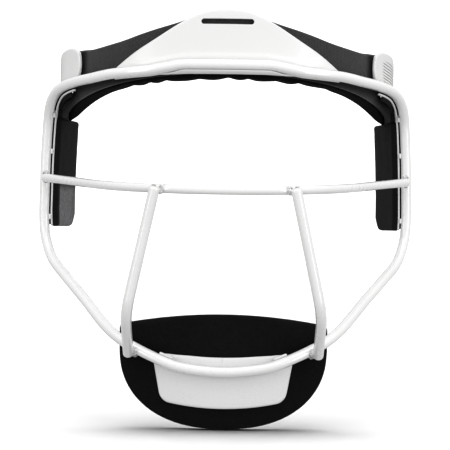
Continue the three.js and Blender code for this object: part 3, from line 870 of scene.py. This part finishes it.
def weld(wires, radius, seed, spill=0):
    """The stubs of two wires where they cross, joined by rough runs of weld in the corners.

    `wires` is the path and the radius of each; the weld runs along the first. `spill` is how
    far inwards its marks have run on the second.
    """
    (path_a, radius_a), (path_b, _) = wires
    _, i, j = min(
        ((a - b).length, i, j) for i, a in enumerate(path_a) for j, b in enumerate(path_b)
    )
    middle = (path_a[i] + path_b[j]) / 2
    parts, runs = [], []
    for (path, wire_radius), at in zip(wires, (i, j)):
        stub = path[max(0, at - WELD_REACH):at + WELD_REACH + 1]
        parts.append(tube(stub, wire_radius - WELD_SINK, WELD_SIDES))
        runs.append((path[max(0, at - 2)] - path[min(len(path) - 1, at + 2)]).normalized())
    run, other = runs
    for direction in (-1, 1):
        fullness = BEAD_INNER if direction * other.x * middle.x < 0 else BEAD_OUTER
        for step in range(-2, 3):
            size = radius * fullness * (1 - BEAD_TAPER * abs(step))
            aside = other * (direction * radius_a * fullness)
            bead = bmesh.new()
            bmesh.ops.create_icosphere(bead, subdivisions=2, radius=size)
            corner = middle + aside + run * (step * BEAD_PITCH)
            bmesh.ops.translate(bead, vec=corner, verts=bead.verts)
            parts.append(bead)

    shape = linked("weld", mesh_of("weld", merged(parts)))
    remesh = shape.modifiers.new("skin", "REMESH")
    remesh.mode = "VOXEL"
    remesh.voxel_size = WELD_VOXEL
    solid = bmesh.new()
    solid.from_object(shape, bpy.context.evaluated_depsgraph_get())
    discard(shape)
    for _ in range(4):
        bmesh.ops.smooth_vert(
            solid, verts=solid.verts, factor=0.5, use_axis_x=True, use_axis_y=True, use_axis_z=True
        )
    solid.normal_update()

    inwards = -other if other.x * middle.x > 0 else other
    marked = middle + inwards * spill + BACKWARD * (spill / 2)
    layer = solid.verts.layers.float_vector.new("pattern")
    for vert in solid.verts:
        near = math.exp(-(((vert.co - marked).length / (WELD_MARKS + spill / 4)) ** 4))
        ripple = noise.noise(vert.co * 1.1 + Vector((seed * 7, 0, 0)))
        vert.co += vert.normal * (0.12 * near - 0.06 + 0.25 * near * ripple)
        vert[layer] = Vector((0, 0, near))
    return solid


class MASK_OT_cage(PieceBuilder, bpy.types.Operator):
    """Builds the welded wire cage"""

    bl_idname = "mask.cage"
    bl_label = "Wire Cage"

    def build(self, sizes, colours):
        sides, bead = sizes.wire_sides, sizes.bead_radius / MM
        loop = curve(perimeter_points(), WIRE_STEP, closed=True)
        bar = curve(cross_bar_points(), WIRE_STEP)
        parts = [tube(loop, WIRE_RADIUS, sides, closed=True), tube(bar, BAR_RADIUS, sides)]
        for side, bar_end in ((-1, bar[:BAR_END_POINTS]), (1, bar[-BAR_END_POINTS:])):
            upright = curve(upright_points(side), WIRE_STEP)
            head = upright[:HEAD_POINTS], WIRE_RADIUS
            foot = upright[-FOOT_POINTS:], WIRE_RADIUS
            tip = bar_end[0 if side < 0 else -1]
            near_tip = [p for p in loop if (p - tip).length < NEAR_TIP]
            parts += [
                tube(upright, WIRE_RADIUS, sides),
                weld((head, (bar, BAR_RADIUS)), bead, side),
                weld((foot, (loop, WIRE_RADIUS)), bead * FOOT_BEAD, side + 3, FOOT_SPILL),
                weld(((bar_end, BAR_RADIUS), (near_tip, WIRE_RADIUS)), bead, side + 6),
            ]
        coat = material_named("powder_coat", powder_coat, colours.coat)
        finish_piece("cage_wire", merged(parts), coat, "cage")


# ------------------------------------------------------------------ the brow


def sheet_ring(midline, thickness, inset, tip=None):
    """A ring round a wall that follows a line, with half-round edges.

    The line is a list of (a, b); `inset` draws the ring in on all sides, and the wall thins
    down to `tip` over the last LIP_TAPER of its line.
    """
    line = [Vector(p) for p in midline]
    lengths = distances(line)
    trim = max(inset, thickness / 2)

    def at(distance, wall):
        """A point of the line, its run, its normal and half the wall."""
        distance = min(max(distance, 0), lengths[-1])
        i = run_at(lengths, distance)
        run = (line[i + 1] - line[i]).normalized()
        point = line[i] + run * (distance - lengths[i])
        return point, run, Vector((-run.y, run.x)), max(THINNEST, wall / 2 - inset)

    def end(distance, wall, way):
        point, run, normal, half = at(distance, wall)
        turns = [math.pi * step / 6 for step in range(1, 6)]
        return [point + (normal * math.cos(t) + run * math.sin(t)) * (half * way) for t in turns]

    tip = tip or thickness
    count = len(line)
    stations = [lerp(trim, lengths[-1] - trim, i / (count - 1)) for i in range(count)]
    outer, inner = [], []
    for distance in stations:
        wall = lerp(tip, thickness, ease((stations[-1] - distance) / LIP_TAPER))
        point, _, normal, half = at(distance, wall)
        outer.append(point + normal * half)
        inner.append(point - normal * half)
    low, high = end(stations[-1], tip, 1), end(stations[0], thickness, -1)
    return [*outer, *low, *reversed(inner), *high]


def top_wire_z(turn):
    return TOP_WIRE.read("z", abs(turn))


def beyond_step(turn):
    """0 over the middle of the brow, 1 beyond the step in the top wire."""
    return ease((abs(turn) - LIP_FROM) / (LIP_TO - LIP_FROM))


def lip_tip(turn):
    return lerp(LIP_TIP, LIP_TIP_ENDS, beyond_step(turn))


def plate_midline(turn):
    """Down the face of the brow plate and round the gutter under the wire, as (out, z)."""
    middle = (PLATE_IN + PLATE_OUT) / 2
    curl_radius = WIRE_OUT - middle
    wire_z = top_wire_z(turn)
    top = PLATE_TOP.read("z", abs(turn))
    line = []
    for step in range(30):
        z = lerp(top, wire_z, step / 29)
        fold = FOLD_OUT * math.exp(-(((z - wire_z - FOLD_ABOVE_WIRE) / FOLD_REACH) ** 2))
        room = ease((top - wire_z - FOLD_ROOM) / FOLD_ROOM)
        line.append((middle + fold * room, z))
    lip = math.radians(lerp(LIP_MIDDLE, LIP_ENDS, beyond_step(turn)))
    for step in range(1, 17):
        curl = lip * step / 16
        wall = lerp(lip_tip(turn), PLATE_THICKNESS, ease((lip - curl) * curl_radius / LIP_TAPER))
        snug = lerp(curl_radius, WIRE_RADIUS + wall / 2, ease(step / 9))
        line.append((WIRE_OUT - snug * math.cos(curl), wire_z - snug * math.sin(curl)))
    return line


def cut_slot(plate):
    """Cuts the round-ended slot through the brow plate."""
    half = SLOT_HEIGHT / 2
    cutter = bmesh.new()
    bmesh.ops.create_cone(
        cutter, cap_ends=True, segments=28, radius1=half, radius2=half, depth=30,
        matrix=Matrix.Rotation(math.pi / 2, 4, "X"),
    )
    for vert in cutter.verts:
        vert.co.x += math.copysign(SLOT_WIDTH / 2 - half, vert.co.x)
        vert.co += Vector((0, -10, SLOT_Z))
    slot = linked("slot_cutter", mesh_of("slot_cutter", in_metres(cutter)))
    cut = plate.modifiers.new("slot", "BOOLEAN")
    cut.operation, cut.solver, cut.object = "DIFFERENCE", "EXACT", slot
    graph = bpy.context.evaluated_depsgraph_get()
    plate.data = bpy.data.meshes.new_from_object(plate.evaluated_get(graph))
    plate.modifiers.remove(cut)
    discard(slot)


class MASK_OT_brow_plate(PieceBuilder, bpy.types.Operator):
    """Builds the moulded plate over the brow, with its slot and the gutter for the wire"""

    bl_idname = "mask.brow_plate"
    bl_label = "Brow Plate"

    def build(self, sizes, colours):
        rings = []
        for turn, _, inset in round_head(PLATE_TURN, PLATE_OUT, 1.1, 1.1):
            ring = sheet_ring(plate_midline(turn), PLATE_THICKNESS, inset, lip_tip(turn))
            rings.append([on_head(turn, out, z) for out, z in ring])
        plastic = material_named("smooth_plastic", moulded_plastic, colours.plastic, 0)
        shell = skin(rings)
        plate = finish_piece("brow_plate_shell", shell, plastic, "brow_plate")
        cut_slot(plate)
        bevel = plate.modifiers.new("edge", "BEVEL")
        bevel.limit_method, bevel.angle_limit = "ANGLE", SLOT_BEVEL_FROM
        bevel.width, bevel.segments = SLOT_BEVEL * MM, 2


class MASK_OT_head_band(PieceBuilder, bpy.types.Operator):
    """Builds the cloth-faced band behind the plate"""

    bl_idname = "mask.head_band"
    bl_label = "Head Band"

    def build(self, sizes, colours):
        rings, pattern = [], []
        for signed, at, inset in round_head(TAIL_TURN, BAND_OUT, 1, 0.9):
            turn = abs(signed)
            table = BAND if turn <= BAND_TURN else BAND_TAIL
            low = table.read("low", turn) + inset
            high = table.read("high", turn) - inset
            ring = rounded_ring(low, high, BAND_IN + inset, BAND_OUT - inset, 1 - inset, 5, 26)
            rings.append([on_head(signed, out, z) for z, out in ring])
            # Painted shade on the facing: over the tail, just below the wire and beside the tab
            tail = ease((turn - TAIL_SHADE_TURN) / 8) * ease((TAIL_SHADE_BELOW - low) / 4)
            near_tab = ease((turn - TAB_FRONT_TURN + TAB_SHADOW_REACH) / 2.4)
            shade_z = top_wire_z(turn) - WIRE_SHADOW_BELOW
            marks = []
            for z, _ in ring:
                wire_shadow = WIRE_SHADOW_STRENGTH * math.exp(-(((z - shade_z) / WIRE_SHADOW_REACH) ** 2))
                tab_shadow = near_tab * ease((z - TAB_SHADOW_ABOVE) / 2)
                marks.append(Vector((at, z - low, max(tail, wire_shadow, tab_shadow))))
            pattern.append(marks)
        knit = material_named("knitted_facing", knitted_facing, colours.knit)
        band = skin(rings, pattern=pattern)
        finish_piece("head_band_cloth", band, knit, "head_band")


class MASK_OT_brow_pad(PieceBuilder, bpy.types.Operator):
    """Builds the soft pad inside the band, with its wavy lower edge"""

    bl_idname = "mask.brow_pad"
    bl_label = "Brow Pad"

    def build(self, sizes, colours):
        waves, rounding = sizes.pad_waves / MM, PAD_EDGE_ROUNDING
        rings = []
        for turn, at, inset in round_head(PAD_TURN, PAD_THICKNESS, rounding, 1.3, 5):
            drift = noise.noise(Vector((at * 0.05, 3.1, 0.4)))
            phase = at * math.pi / WAVE_LENGTH + drift * WAVE_DRIFT
            wave = 0.5 - abs(math.sin(phase)) + 0.5 * drift
            wave *= ease((WAVES_END - abs(turn)) / WAVES_FADE)
            low = PAD.read("low", abs(turn)) + waves * wave + inset
            high = PAD.read("high", abs(turn)) - inset
            outer = PAD.read("thickness", abs(turn)) - inset
            ring = rounded_ring(low, max(high, low + 1), inset, outer, rounding - inset, 6, 12)
            soft = []
            for z, out in ring:
                if out > outer / 2:
                    out += PAD_CREASE * noise.noise(Vector((at * 0.05, z * 0.12, 5)))
                soft.append(on_head(turn, out, z))
            rings.append(soft)
        foam = material_named("foam_skin", foam_skin, colours.foam)
        pad = finish_piece("brow_pad_foam", skin(rings), foam, "brow_pad")


# ------------------------------------------------------------------ strap and tabs


def strap_line(spacing):
    half = [Vector(p) for p in STRAP]
    return curve([*half, *mirrored(half[:-1])], spacing)


def away_from_head(tangent):
    return Vector((tangent.y, -tangent.x, 0)).normalized()


class MASK_OT_rear_strap(PieceBuilder, bpy.types.Operator):
    """Builds the elastic strap round the back of the head"""

    bl_idname = "mask.rear_strap"
    bl_label = "Rear Strap"

    def build(self, sizes, colours):
        path = strap_line(1.5)
        spacing = (path[1] - path[0]).length
        last = len(path) - 1
        rings, pattern = [], []
        half, thick = STRAP_WIDTH / 2, STRAP_THICKNESS / 2
        for i, (point, tangent, _, _) in enumerate(frames_along(path)):
            out = away_from_head(tangent)
            inset = 0.8 if i in (0, last) else 0
            at = i * spacing
            slack = STRAP_SLACK * noise.noise(Vector((at * 0.035, 2.2, 0)))
            a1, b1 = half - inset, thick - inset
            ring = rounded_ring(-a1, a1, -b1, b1, 0.8, 4, 16)
            rings.append([point + out * (b + slack) + Vector((0, 0, a)) for a, b in ring])
            from_end = min(at, last * spacing - at)
            seam = max(math.exp(-(((from_end - one) / SEAM_REACH) ** 2)) for one in STRAP_SEAMS)
            sewn = half - SEAM_MARGIN
            pattern.append([Vector((at, a, seam if abs(a) < sewn else 0)) for a, _ in ring])
        webbing = material_named("elastic_webbing", elastic_webbing, colours.webbing)
        strap = skin(rings, pattern=pattern)
        finish_piece("rear_strap_webbing", strap, webbing, "rear_strap")


def tab(ribbed_from):
    """A moulded tab, which lies on the end of the band and the start of the strap.

    Its grip ribs start at a part of its length.
    """
    middle = (BAND_IN + BAND_OUT) / 2
    front = [on_head(TAB_FRONT_TURN + step, middle, 0) for step in (-1, 1.5)]
    rear = [Vector((x, y, 0)) for x, y, _ in STRAP[:5]]
    line = [p for p in curve([*front, *rear], 0.35) if p.y <= TAB_BACK_Y]
    frames = frames_along(line)
    length = (len(line) - 1) * (line[1] - line[0]).length
    inside = BAND_THICKNESS / 2 + GAP
    rings, pattern = [], []
    for at, inset in rounded_run(0, length, 1, 0.7):
        along = at / length
        low = TAB.read("low", along) + inset
        high = TAB.read("high", along) - inset
        ring = rounded_ring(
            low, high, inside + inset, inside + TAB_THICKNESS - inset, 1 - inset, 4, 22
        )
        points, marks = [], []
        for z, out in ring:
            v = (z - low) / (high - low)
            bowed = along + (1 - along) * TAB_FRONT_BOW * (2 * v - 1) ** 2
            place = bowed * (len(frames) - 1)
            i = min(int(place), len(frames) - 2)
            point = frames[i][0].lerp(frames[i + 1][0], place - i)
            away = away_from_head(frames[i][1].lerp(frames[i + 1][1], place - i))
            points.append(point + away * out + Vector((0, 0, z)))
            ribbed = ease((along - ribbed_from) / 0.04) * ease((TAB_RIBS_END - along) / 0.04)
            ribbed *= ease((v - TAB_RIBS_LOW) / 0.06) * ease((TAB_RIBS_HIGH - v) / 0.08)
            marks.append(Vector((at, z, ribbed if out > inside + 1.5 else 0)))
        rings.append(points)
        pattern.append(marks)
    return skin(rings, pattern=pattern)


class MASK_OT_temple_tabs(PieceBuilder, bpy.types.Operator):
    """Builds the moulded tabs at the temples"""

    bl_idname = "mask.temple_tabs"
    bl_label = "Temple Tabs"

    def build(self, sizes, colours):
        ribbed = material_named("ribbed_plastic", ribbed_plastic, colours.plastic, sizes.rib_pitch)
        left, right = tab(TAB_RIBS_LEFT), tab(TAB_RIBS_RIGHT)
        finish_pair("tab", "temple_tab", left, right, ribbed)


# ------------------------------------------------------------------ the sides


def side_frames():
    """Down the side wire: its centre, its run, and the way across to the inside."""
    loop = curve(perimeter_points(), 0.5, closed=True)
    start_x = on_head(SIDE_PLATE_FROM_TURN, WIRE_OUT, 0).x
    frames = []
    for point, tangent, _, _ in frames_along(loop, closed=True):
        if point.z < SIDE_PLATE_LOW_Z:
            break
        if point.x >= start_x:
            across = Vector((tangent.z, 0, -tangent.x)).normalized()
            frames.append((point, tangent, across))
    return frames


def frame_near(frames, z):
    return min(frames, key=lambda one: abs(one[0].z - z))


def clip(centre, tangent, across, start, end, length):
    """A C that hooks round the back of a wire."""
    middle = WIRE_RADIUS + CLIP_GAP + CLIP_WALL / 2
    side = (across - tangent * across.dot(tangent)).normalized()
    behind = tangent.cross(side)
    line = []
    for step in range(15):
        angle = math.radians(lerp(start, end, step / 14))
        line.append((middle * math.cos(angle), middle * math.sin(angle)))
    rings = []
    for at, inset in rounded_run(-length / 2, length / 2, 0.5, 1):
        ring = sheet_ring(line, CLIP_WALL, inset)
        rings.append([centre + tangent * at + side * a + behind * b for a, b in ring])
    return skin(rings)


def side_plate():
    frames = side_frames()
    offset = WIRE_RADIUS + SIDE_PLATE_CLEARANCE
    rings = []
    last = len(frames) - 1
    for at, inset in rounded_run(0, last, 1.2, 2):
        centre, _, across = frames[min(last, round(at))]
        depth = SIDE_PLATE_DEPTH.read("depth", centre.z)
        outer, inner = offset + inset * 0.5, offset + SIDE_PLATE_THICKNESS - inset * 0.5
        ring = rounded_ring(inset, depth - inset, outer, inner, 0.45, 3, 18)
        rings.append([centre + BACKWARD * a + across * b for a, b in ring])
    parts = [skin(rings)]
    for z in SIDE_CLIP_Z:
        at = frame_near(frames, z)
        parts.append(clip(*at, SIDE_CLIP_START, SIDE_CLIP_END, SIDE_CLIP_LENGTH))
    return merged(parts)


class MASK_OT_side_plates(PieceBuilder, bpy.types.Operator):
    """Builds the thin plates clipped to the side wires"""

    bl_idname = "mask.side_plates"
    bl_label = "Side Plates"

    def build(self, sizes, colours):
        plastic = material_named("smooth_plastic", moulded_plastic, colours.plastic, 0)
        left, right = side_plate(), side_plate()
        finish_pair("side_plate_shell", "side_plate", left, right, plastic)


def side_strip(frames, section, runs=1):
    """A strip down the side wire; `section` gives (front, back, outer face, inner face) at z."""
    rings = []
    for at, inset in rounded_run(0, len(frames) - 1, 1, 2):
        centre, _, across = frames[round(at)]
        front, back, outer, inner = section(centre.z)
        edge = inset / 2
        ring = rounded_ring(front + edge, back - edge, outer + edge, inner - edge, 0.5, 3, runs)
        rings.append([centre + BACKWARD * a + across * b for a, b in ring])
    return skin(rings)


def side_pad(rounding, brushed):
    """A foam pad, thin at its front edge, with its backing and a dark strip that stands for shade
    by its plate.

    `brushed` paints a pale lit patch, a painted highlight, over the lower part.
    """
    frames = side_frames()
    plate = WIRE_RADIUS + SIDE_PLATE_CLEARANCE
    seat = plate + SIDE_PLATE_THICKNESS + SEATING_GAP
    rings, pattern = [], []
    for z, inset in rounded_run(SIDE_PAD_LOW, SIDE_PAD_TOP, rounding, 0.9):
        centre, _, across = frame_near(frames, z)
        inward = Vector((across.x, 0, 0)).normalized()
        cut = max(0, SIDE_PAD_CORNER - (z - SIDE_PAD_LOW) / SIDE_PAD_CORNER_SLOPE)
        back = SIDE_PAD_BACK - cut - inset * 0.7
        front = SIDE_PAD_FRONT + inset * 0.7
        # One pad gets a painted lit patch over its lower part, from just behind its front edge,
        # fading to the back
        lit_below = ease((LIT_PATCH_BELOW_Z - z) / 6) if brushed else 0
        points, marks = [], []
        for a, b in rounded_ring(front, back, 0, 1, 0.08, 3, 40):
            from_edge = min(a - front, back - a)
            thick = SIDE_PAD_EDGE - EDGE_DROP * (1 - min(1, from_edge / EDGE_REACH)) ** 2
            thick += (SIDE_PAD_CROWN - SIDE_PAD_EDGE) * min(1, (a - front) / SIDE_PAD_CROWN_AT)
            thick -= BACK_DROP * (1 - min(1, (back - a) / BACK_REACH)) ** 2 + inset
            thick += PAD_UNEVENNESS * noise.noise(Vector((a * 0.13, z * 0.13, 1)))
            point = Vector((centre.x, centre.y, z)) + BACKWARD * a
            points.append(point + inward * (seat + b * max(thick, 0.3)))
            darker = 0.35 * ease((a - LIT_PATCH_FADE_FROM) / LIT_PATCH_FADE_REACH)
            marks.append(Vector((0, 0, lit_below * ease((a - LIT_PATCH_FROM) / 2) * (1 - darker))))
        rings.append(points)
        pattern.append(marks)

    def liner(z):
        back = SIDE_PLATE_DEPTH.read("depth", z) - LINER_MARGIN
        return LINER_FRONT, back, seat, seat + LINER_THICKNESS

    # A dark strip in the gap between wire and plate, which stands for the shade there
    def gap_shade(z):
        inner = plate - SEATING_GAP
        return GAP_SHADE_FRONT, GAP_SHADE_BACK, inner - GAP_SHADE_REACH, inner

    def closing(z):
        return CLOSING_FRONT, CLOSING_BACK, seat, seat + CLOSING_THICKNESS

    lined = [one for one in frames if LINER_LOW < one[0].z < LINER_TOP]
    corner = [one for one in frames if CLOSING_LOW < one[0].z < CLOSING_TOP]
    return merged([
        skin(rings, pattern=pattern), side_strip(lined, liner, 16),
        side_strip(frames[2:-2], gap_shade), side_strip(corner, closing),
    ])


class MASK_OT_side_pads(PieceBuilder, bpy.types.Operator):
    """Builds the foam pads on the side plates"""

    bl_idname = "mask.side_pads"
    bl_label = "Side Pads"

    def build(self, sizes, colours):
        cloth = material_named("brushed_cloth", brushed_cloth, colours.pile)
        rounding = sizes.pad_rounding / MM
        left, right = side_pad(rounding, False), side_pad(rounding, True)
        for pad in finish_pair("side_pad_foam", "side_pad", left, right, cloth):
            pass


# ------------------------------------------------------------------ the chin


def chin_wire_z(x):
    return CHIN_WIRE_Z + CHIN_WIRE.read("rise", abs(x))


def chin_point(x, radius, z):
    """A point round the chin, where all below the wire leans back."""
    depth = max(0, CHIN_WIRE_Z - z) / (CHIN_WIRE_Z - CHIN_LOW_Z)
    return on_chin(x, radius, z) + Vector((0, CHIN_LEAN * depth * depth, 0))


class MASK_OT_chin_plate(PieceBuilder, bpy.types.Operator):
    """Builds the moulded plate clipped to the chin wire"""

    bl_idname = "mask.chin_plate"
    bl_label = "Chin Plate"

    def build(self, sizes, colours):
        rings = []
        half, thickness = CHIN_PLATE_HALF, CHIN_PLATE_THICKNESS
        for at, inset in rounded_run(-half, half, 1, 0.8, 5):
            across = at / half
            round_off = max(0, (abs(across) - CHIN_PLATE_CORNER) / (1 - CHIN_PLATE_CORNER))
            bottom = CHIN_PLATE_LOW + CHIN_PLATE_LOW_RISE * across * across
            bottom += CHIN_PLATE_CORNER_RISE * (1 - math.sqrt(max(0, 1 - round_off * round_off)))
            top = chin_wire_z(at) + CHIN_PLATE_TOP.read("rise", abs(at))
            ring = rounded_ring(
                bottom + inset, top - inset, inset * 0.95, thickness - inset * 0.95, 0.95, 5, 20
            )
            points = []
            for z, depth in ring:
                x = at - across * CHIN_PLATE_TAPER * (1 - (z - bottom) / (top - bottom))
                points.append(chin_point(x, CHIN_PLATE_OUT - depth, z))
            rings.append(points)
        parts = [skin(rings)]
        for x in (-CHIN_CLIP_X, CHIN_CLIP_X):
            centre = on_chin(x, CHIN_WIRE_RADIUS, chin_wire_z(x))
            ahead = on_chin(x + 1, CHIN_WIRE_RADIUS, chin_wire_z(x + 1))
            tangent = (ahead - centre).normalized()
            at = centre, tangent, Vector((0, 0, 1))
            parts.append(clip(*at, CHIN_CLIP_START, CHIN_CLIP_END, CHIN_CLIP_LENGTH))
        mark = []
        top = chin_wire_z(0) + CHIN_PLATE_TOP.read("rise", 0)
        for z, inset in rounded_run(top - CHIN_MARK_HEIGHT, top - 0.3, 0.2, 0.6):
            half = CHIN_MARK_HALF - inset
            ring = rounded_ring(-half, half, -0.5, CHIN_MARK_OUT - inset, 0.2, 3)
            mark.append([chin_point(x, CHIN_PLATE_OUT + out, z) for x, out in ring])
        parts.append(skin(mark))
        plastic = material_named("grained_plastic", moulded_plastic, colours.grained, 1)
        finish_piece("chin_plate_shell", merged(parts), plastic, "chin_plate")


class MASK_OT_chin_pad(PieceBuilder, bpy.types.Operator):
    """Builds the foam pad behind the chin plate"""

    bl_idname = "mask.chin_pad"
    bl_label = "Chin Pad"

    def build(self, sizes, colours):
        rounding = sizes.pad_rounding / MM
        rings = []
        for at, inset in rounded_run(-CHIN_PAD_HALF, CHIN_PAD_HALF, rounding, 1, 5):
            reach = abs(at) / CHIN_PAD_HALF
            full = (1 - min(1, reach) ** CHIN_PAD_FULLNESS) ** (1 / CHIN_PAD_FULLNESS)
            low = CHIN_PAD_SHOULDER + (CHIN_LOW_Z - CHIN_PAD_SHOULDER) * full + inset
            high = CHIN_PAD_TOP - CHIN_PAD_TOP_FALL * reach * reach - inset
            ring = rounded_ring(
                low, high, inset, CHIN_PAD_THICKNESS - inset, rounding - inset * 0.9, 5, 26
            )
            points = []
            for z, depth in ring:
                if depth > CHIN_PAD_THICKNESS / 2:
                    depth -= CHIN_PAD_UNEVENNESS * noise.noise(Vector((at * 0.06, z * 0.06, 2)))
                points.append(chin_point(at, CHIN_PAD_OUT - depth, z))
            rings.append(points)
        foam = material_named("foam_skin", foam_skin, colours.foam)
        pad = finish_piece("chin_pad_foam", skin(rings), foam, "chin_pad")


# ------------------------------------------------------------------ the stage


class MASK_OT_stage(bpy.types.Operator):
    """Sets the floor, the soft lights and the camera"""

    bl_idname = "mask.stage"
    bl_label = "Stage"

    def execute(self, context):
        scene, stage = context.scene, context.scene.mask_stage
        low, _ = CAD_BOX

        bm = bmesh.new()
        bmesh.ops.create_grid(bm, x_segments=2, y_segments=2, size=FLOOR_HALF)
        bmesh.ops.translate(bm, vec=(0, FLOOR_CENTRE_Y, low.z - FLOOR_GAP), verts=bm.verts)
        floor = linked("floor", mesh_of("floor", bm))
        paper = Finish("floor_paper", Roughness=0.9, Base_Color=tuple(stage.floor))
        floor.data.materials.append(paper.material)
        floor.visible_diffuse = floor.visible_glossy = False

        world = bpy.data.worlds.new("studio")
        scene.world = world
        world.use_nodes = True
        room = Nodes(world.node_tree)
        towards = room.node("ShaderNodeTexCoord", output="Generated")
        lean = tuple(part * stage.ambient for part in (0.06, -stage.frontal, 0.35))
        graded = stage.ambient + room.node(
            "ShaderNodeVectorMath", {"operation": "DOT_PRODUCT"}, {0: towards, 1: lean},
            output="Value",
        )
        glossy = room.node("ShaderNodeLightPath", output="Is Glossy Ray")
        lit = room.node(
            "ShaderNodeBackground", None,
            {"Color": WHITE, "Strength": graded + stage.surround * glossy},
        )
        seen = room.node("ShaderNodeBackground", None, {"Color": WHITE, "Strength": BACKDROP})
        direct = room.node("ShaderNodeLightPath", output="Is Camera Ray")
        picked = room.node("ShaderNodeMixShader", None, {0: direct, 1: lit, 2: seen})
        room.feed(room.tree.nodes["World Output"].inputs["Surface"], picked)

        def shine(light, name, place):
            lamp = linked(name, light)
            lamp.location = place
            lamp.rotation_euler = (AIM - Vector(place)).to_track_quat("-Z", "Y").to_euler()
            return lamp

        floor_only = bpy.data.collections.new("floor_only")
        floor_only.objects.link(floor)
        overheads = ("overhead_back", (0, 0.35, 1.4), 0.65), ("overhead_front", (0, -1, 1.2), 0.35)
        for name, place, share in overheads:
            overhead = bpy.data.lights.new(name, "SUN")
            overhead.energy = stage.overhead * share
            overhead.angle = math.radians(65)
            shine(overhead, name, place).light_linking.receiver_collection = floor_only
        for name, place, size, power in (
            ("strip_left", (-1.1, -0.9, 0), (0.3, 1.2), stage.left_power),
            ("strip_right", (1.1, -0.9, 0), (0.35, 1.2), stage.right_power),
            ("strip_top", (0, -0.6, 0.9), (1.4, 0.45), stage.top_power),
        ):
            strip = bpy.data.lights.new(name, "AREA")
            strip.shape = "RECTANGLE"
            strip.size, strip.size_y = size
            strip.energy = power
            shine(strip, name, place)

        camera = linked("camera", bpy.data.cameras.new("camera"))
        camera.data.lens = stage.lens
        camera.data.sensor_width = 36
        camera.data.clip_start, camera.data.clip_end = 0.05, 60
        level = Matrix.Rotation(math.pi / 2, 4, "X") @ Matrix.Rotation(stage.roll, 4, "Z")
        camera.matrix_world = Matrix.Translation((0, -stage.distance, stage.height)) @ level
        scene.camera = camera
        scene.view_settings.view_transform = "Standard"
        scene.view_settings.look = "High Contrast"
        return {"FINISHED"}


class MASK_PT_panel(bpy.types.Panel):
    """Lists the mask's pieces and settings"""

    bl_idname = "MASK_PT_panel"
    bl_label = "Fielder's Mask"
    bl_space_type = "VIEW_3D"
    bl_region_type = "UI"
    bl_category = "Mask"

    def draw(self, context):
        for operator in PIECES:
            self.layout.operator(operator.bl_idname)
        for key in GROUPS:
            box, group = self.layout.box(), getattr(context.scene, key)
            for name in group.__annotations__:
                box.prop(group, name)


PIECES = (
    MASK_OT_cage, MASK_OT_brow_plate, MASK_OT_head_band, MASK_OT_brow_pad, MASK_OT_rear_strap,
    MASK_OT_temple_tabs, MASK_OT_side_plates, MASK_OT_side_pads, MASK_OT_chin_plate,
    MASK_OT_chin_pad, MASK_OT_stage,
)
GROUPS = {"mask_sizes": MaskSizes, "mask_colours": MaskColours, "mask_stage": MaskStage}


def register():
    for one in (*GROUPS.values(), *PIECES, MASK_PT_panel):
        bpy.utils.register_class(one)
    for name, group in GROUPS.items():
        setattr(bpy.types.Scene, name, bpy.props.PointerProperty(type=group))


def unregister():
    for name in GROUPS:
        delattr(bpy.types.Scene, name)
    for one in (MASK_PT_panel, *reversed(PIECES), *GROUPS.values()):
        bpy.utils.unregister_class(one)


def main():
    register()
    for operator in PIECES:
        getattr(bpy.ops.mask, operator.bl_idname.split(".")[1])()


if __name__ == "__main__":
    main()
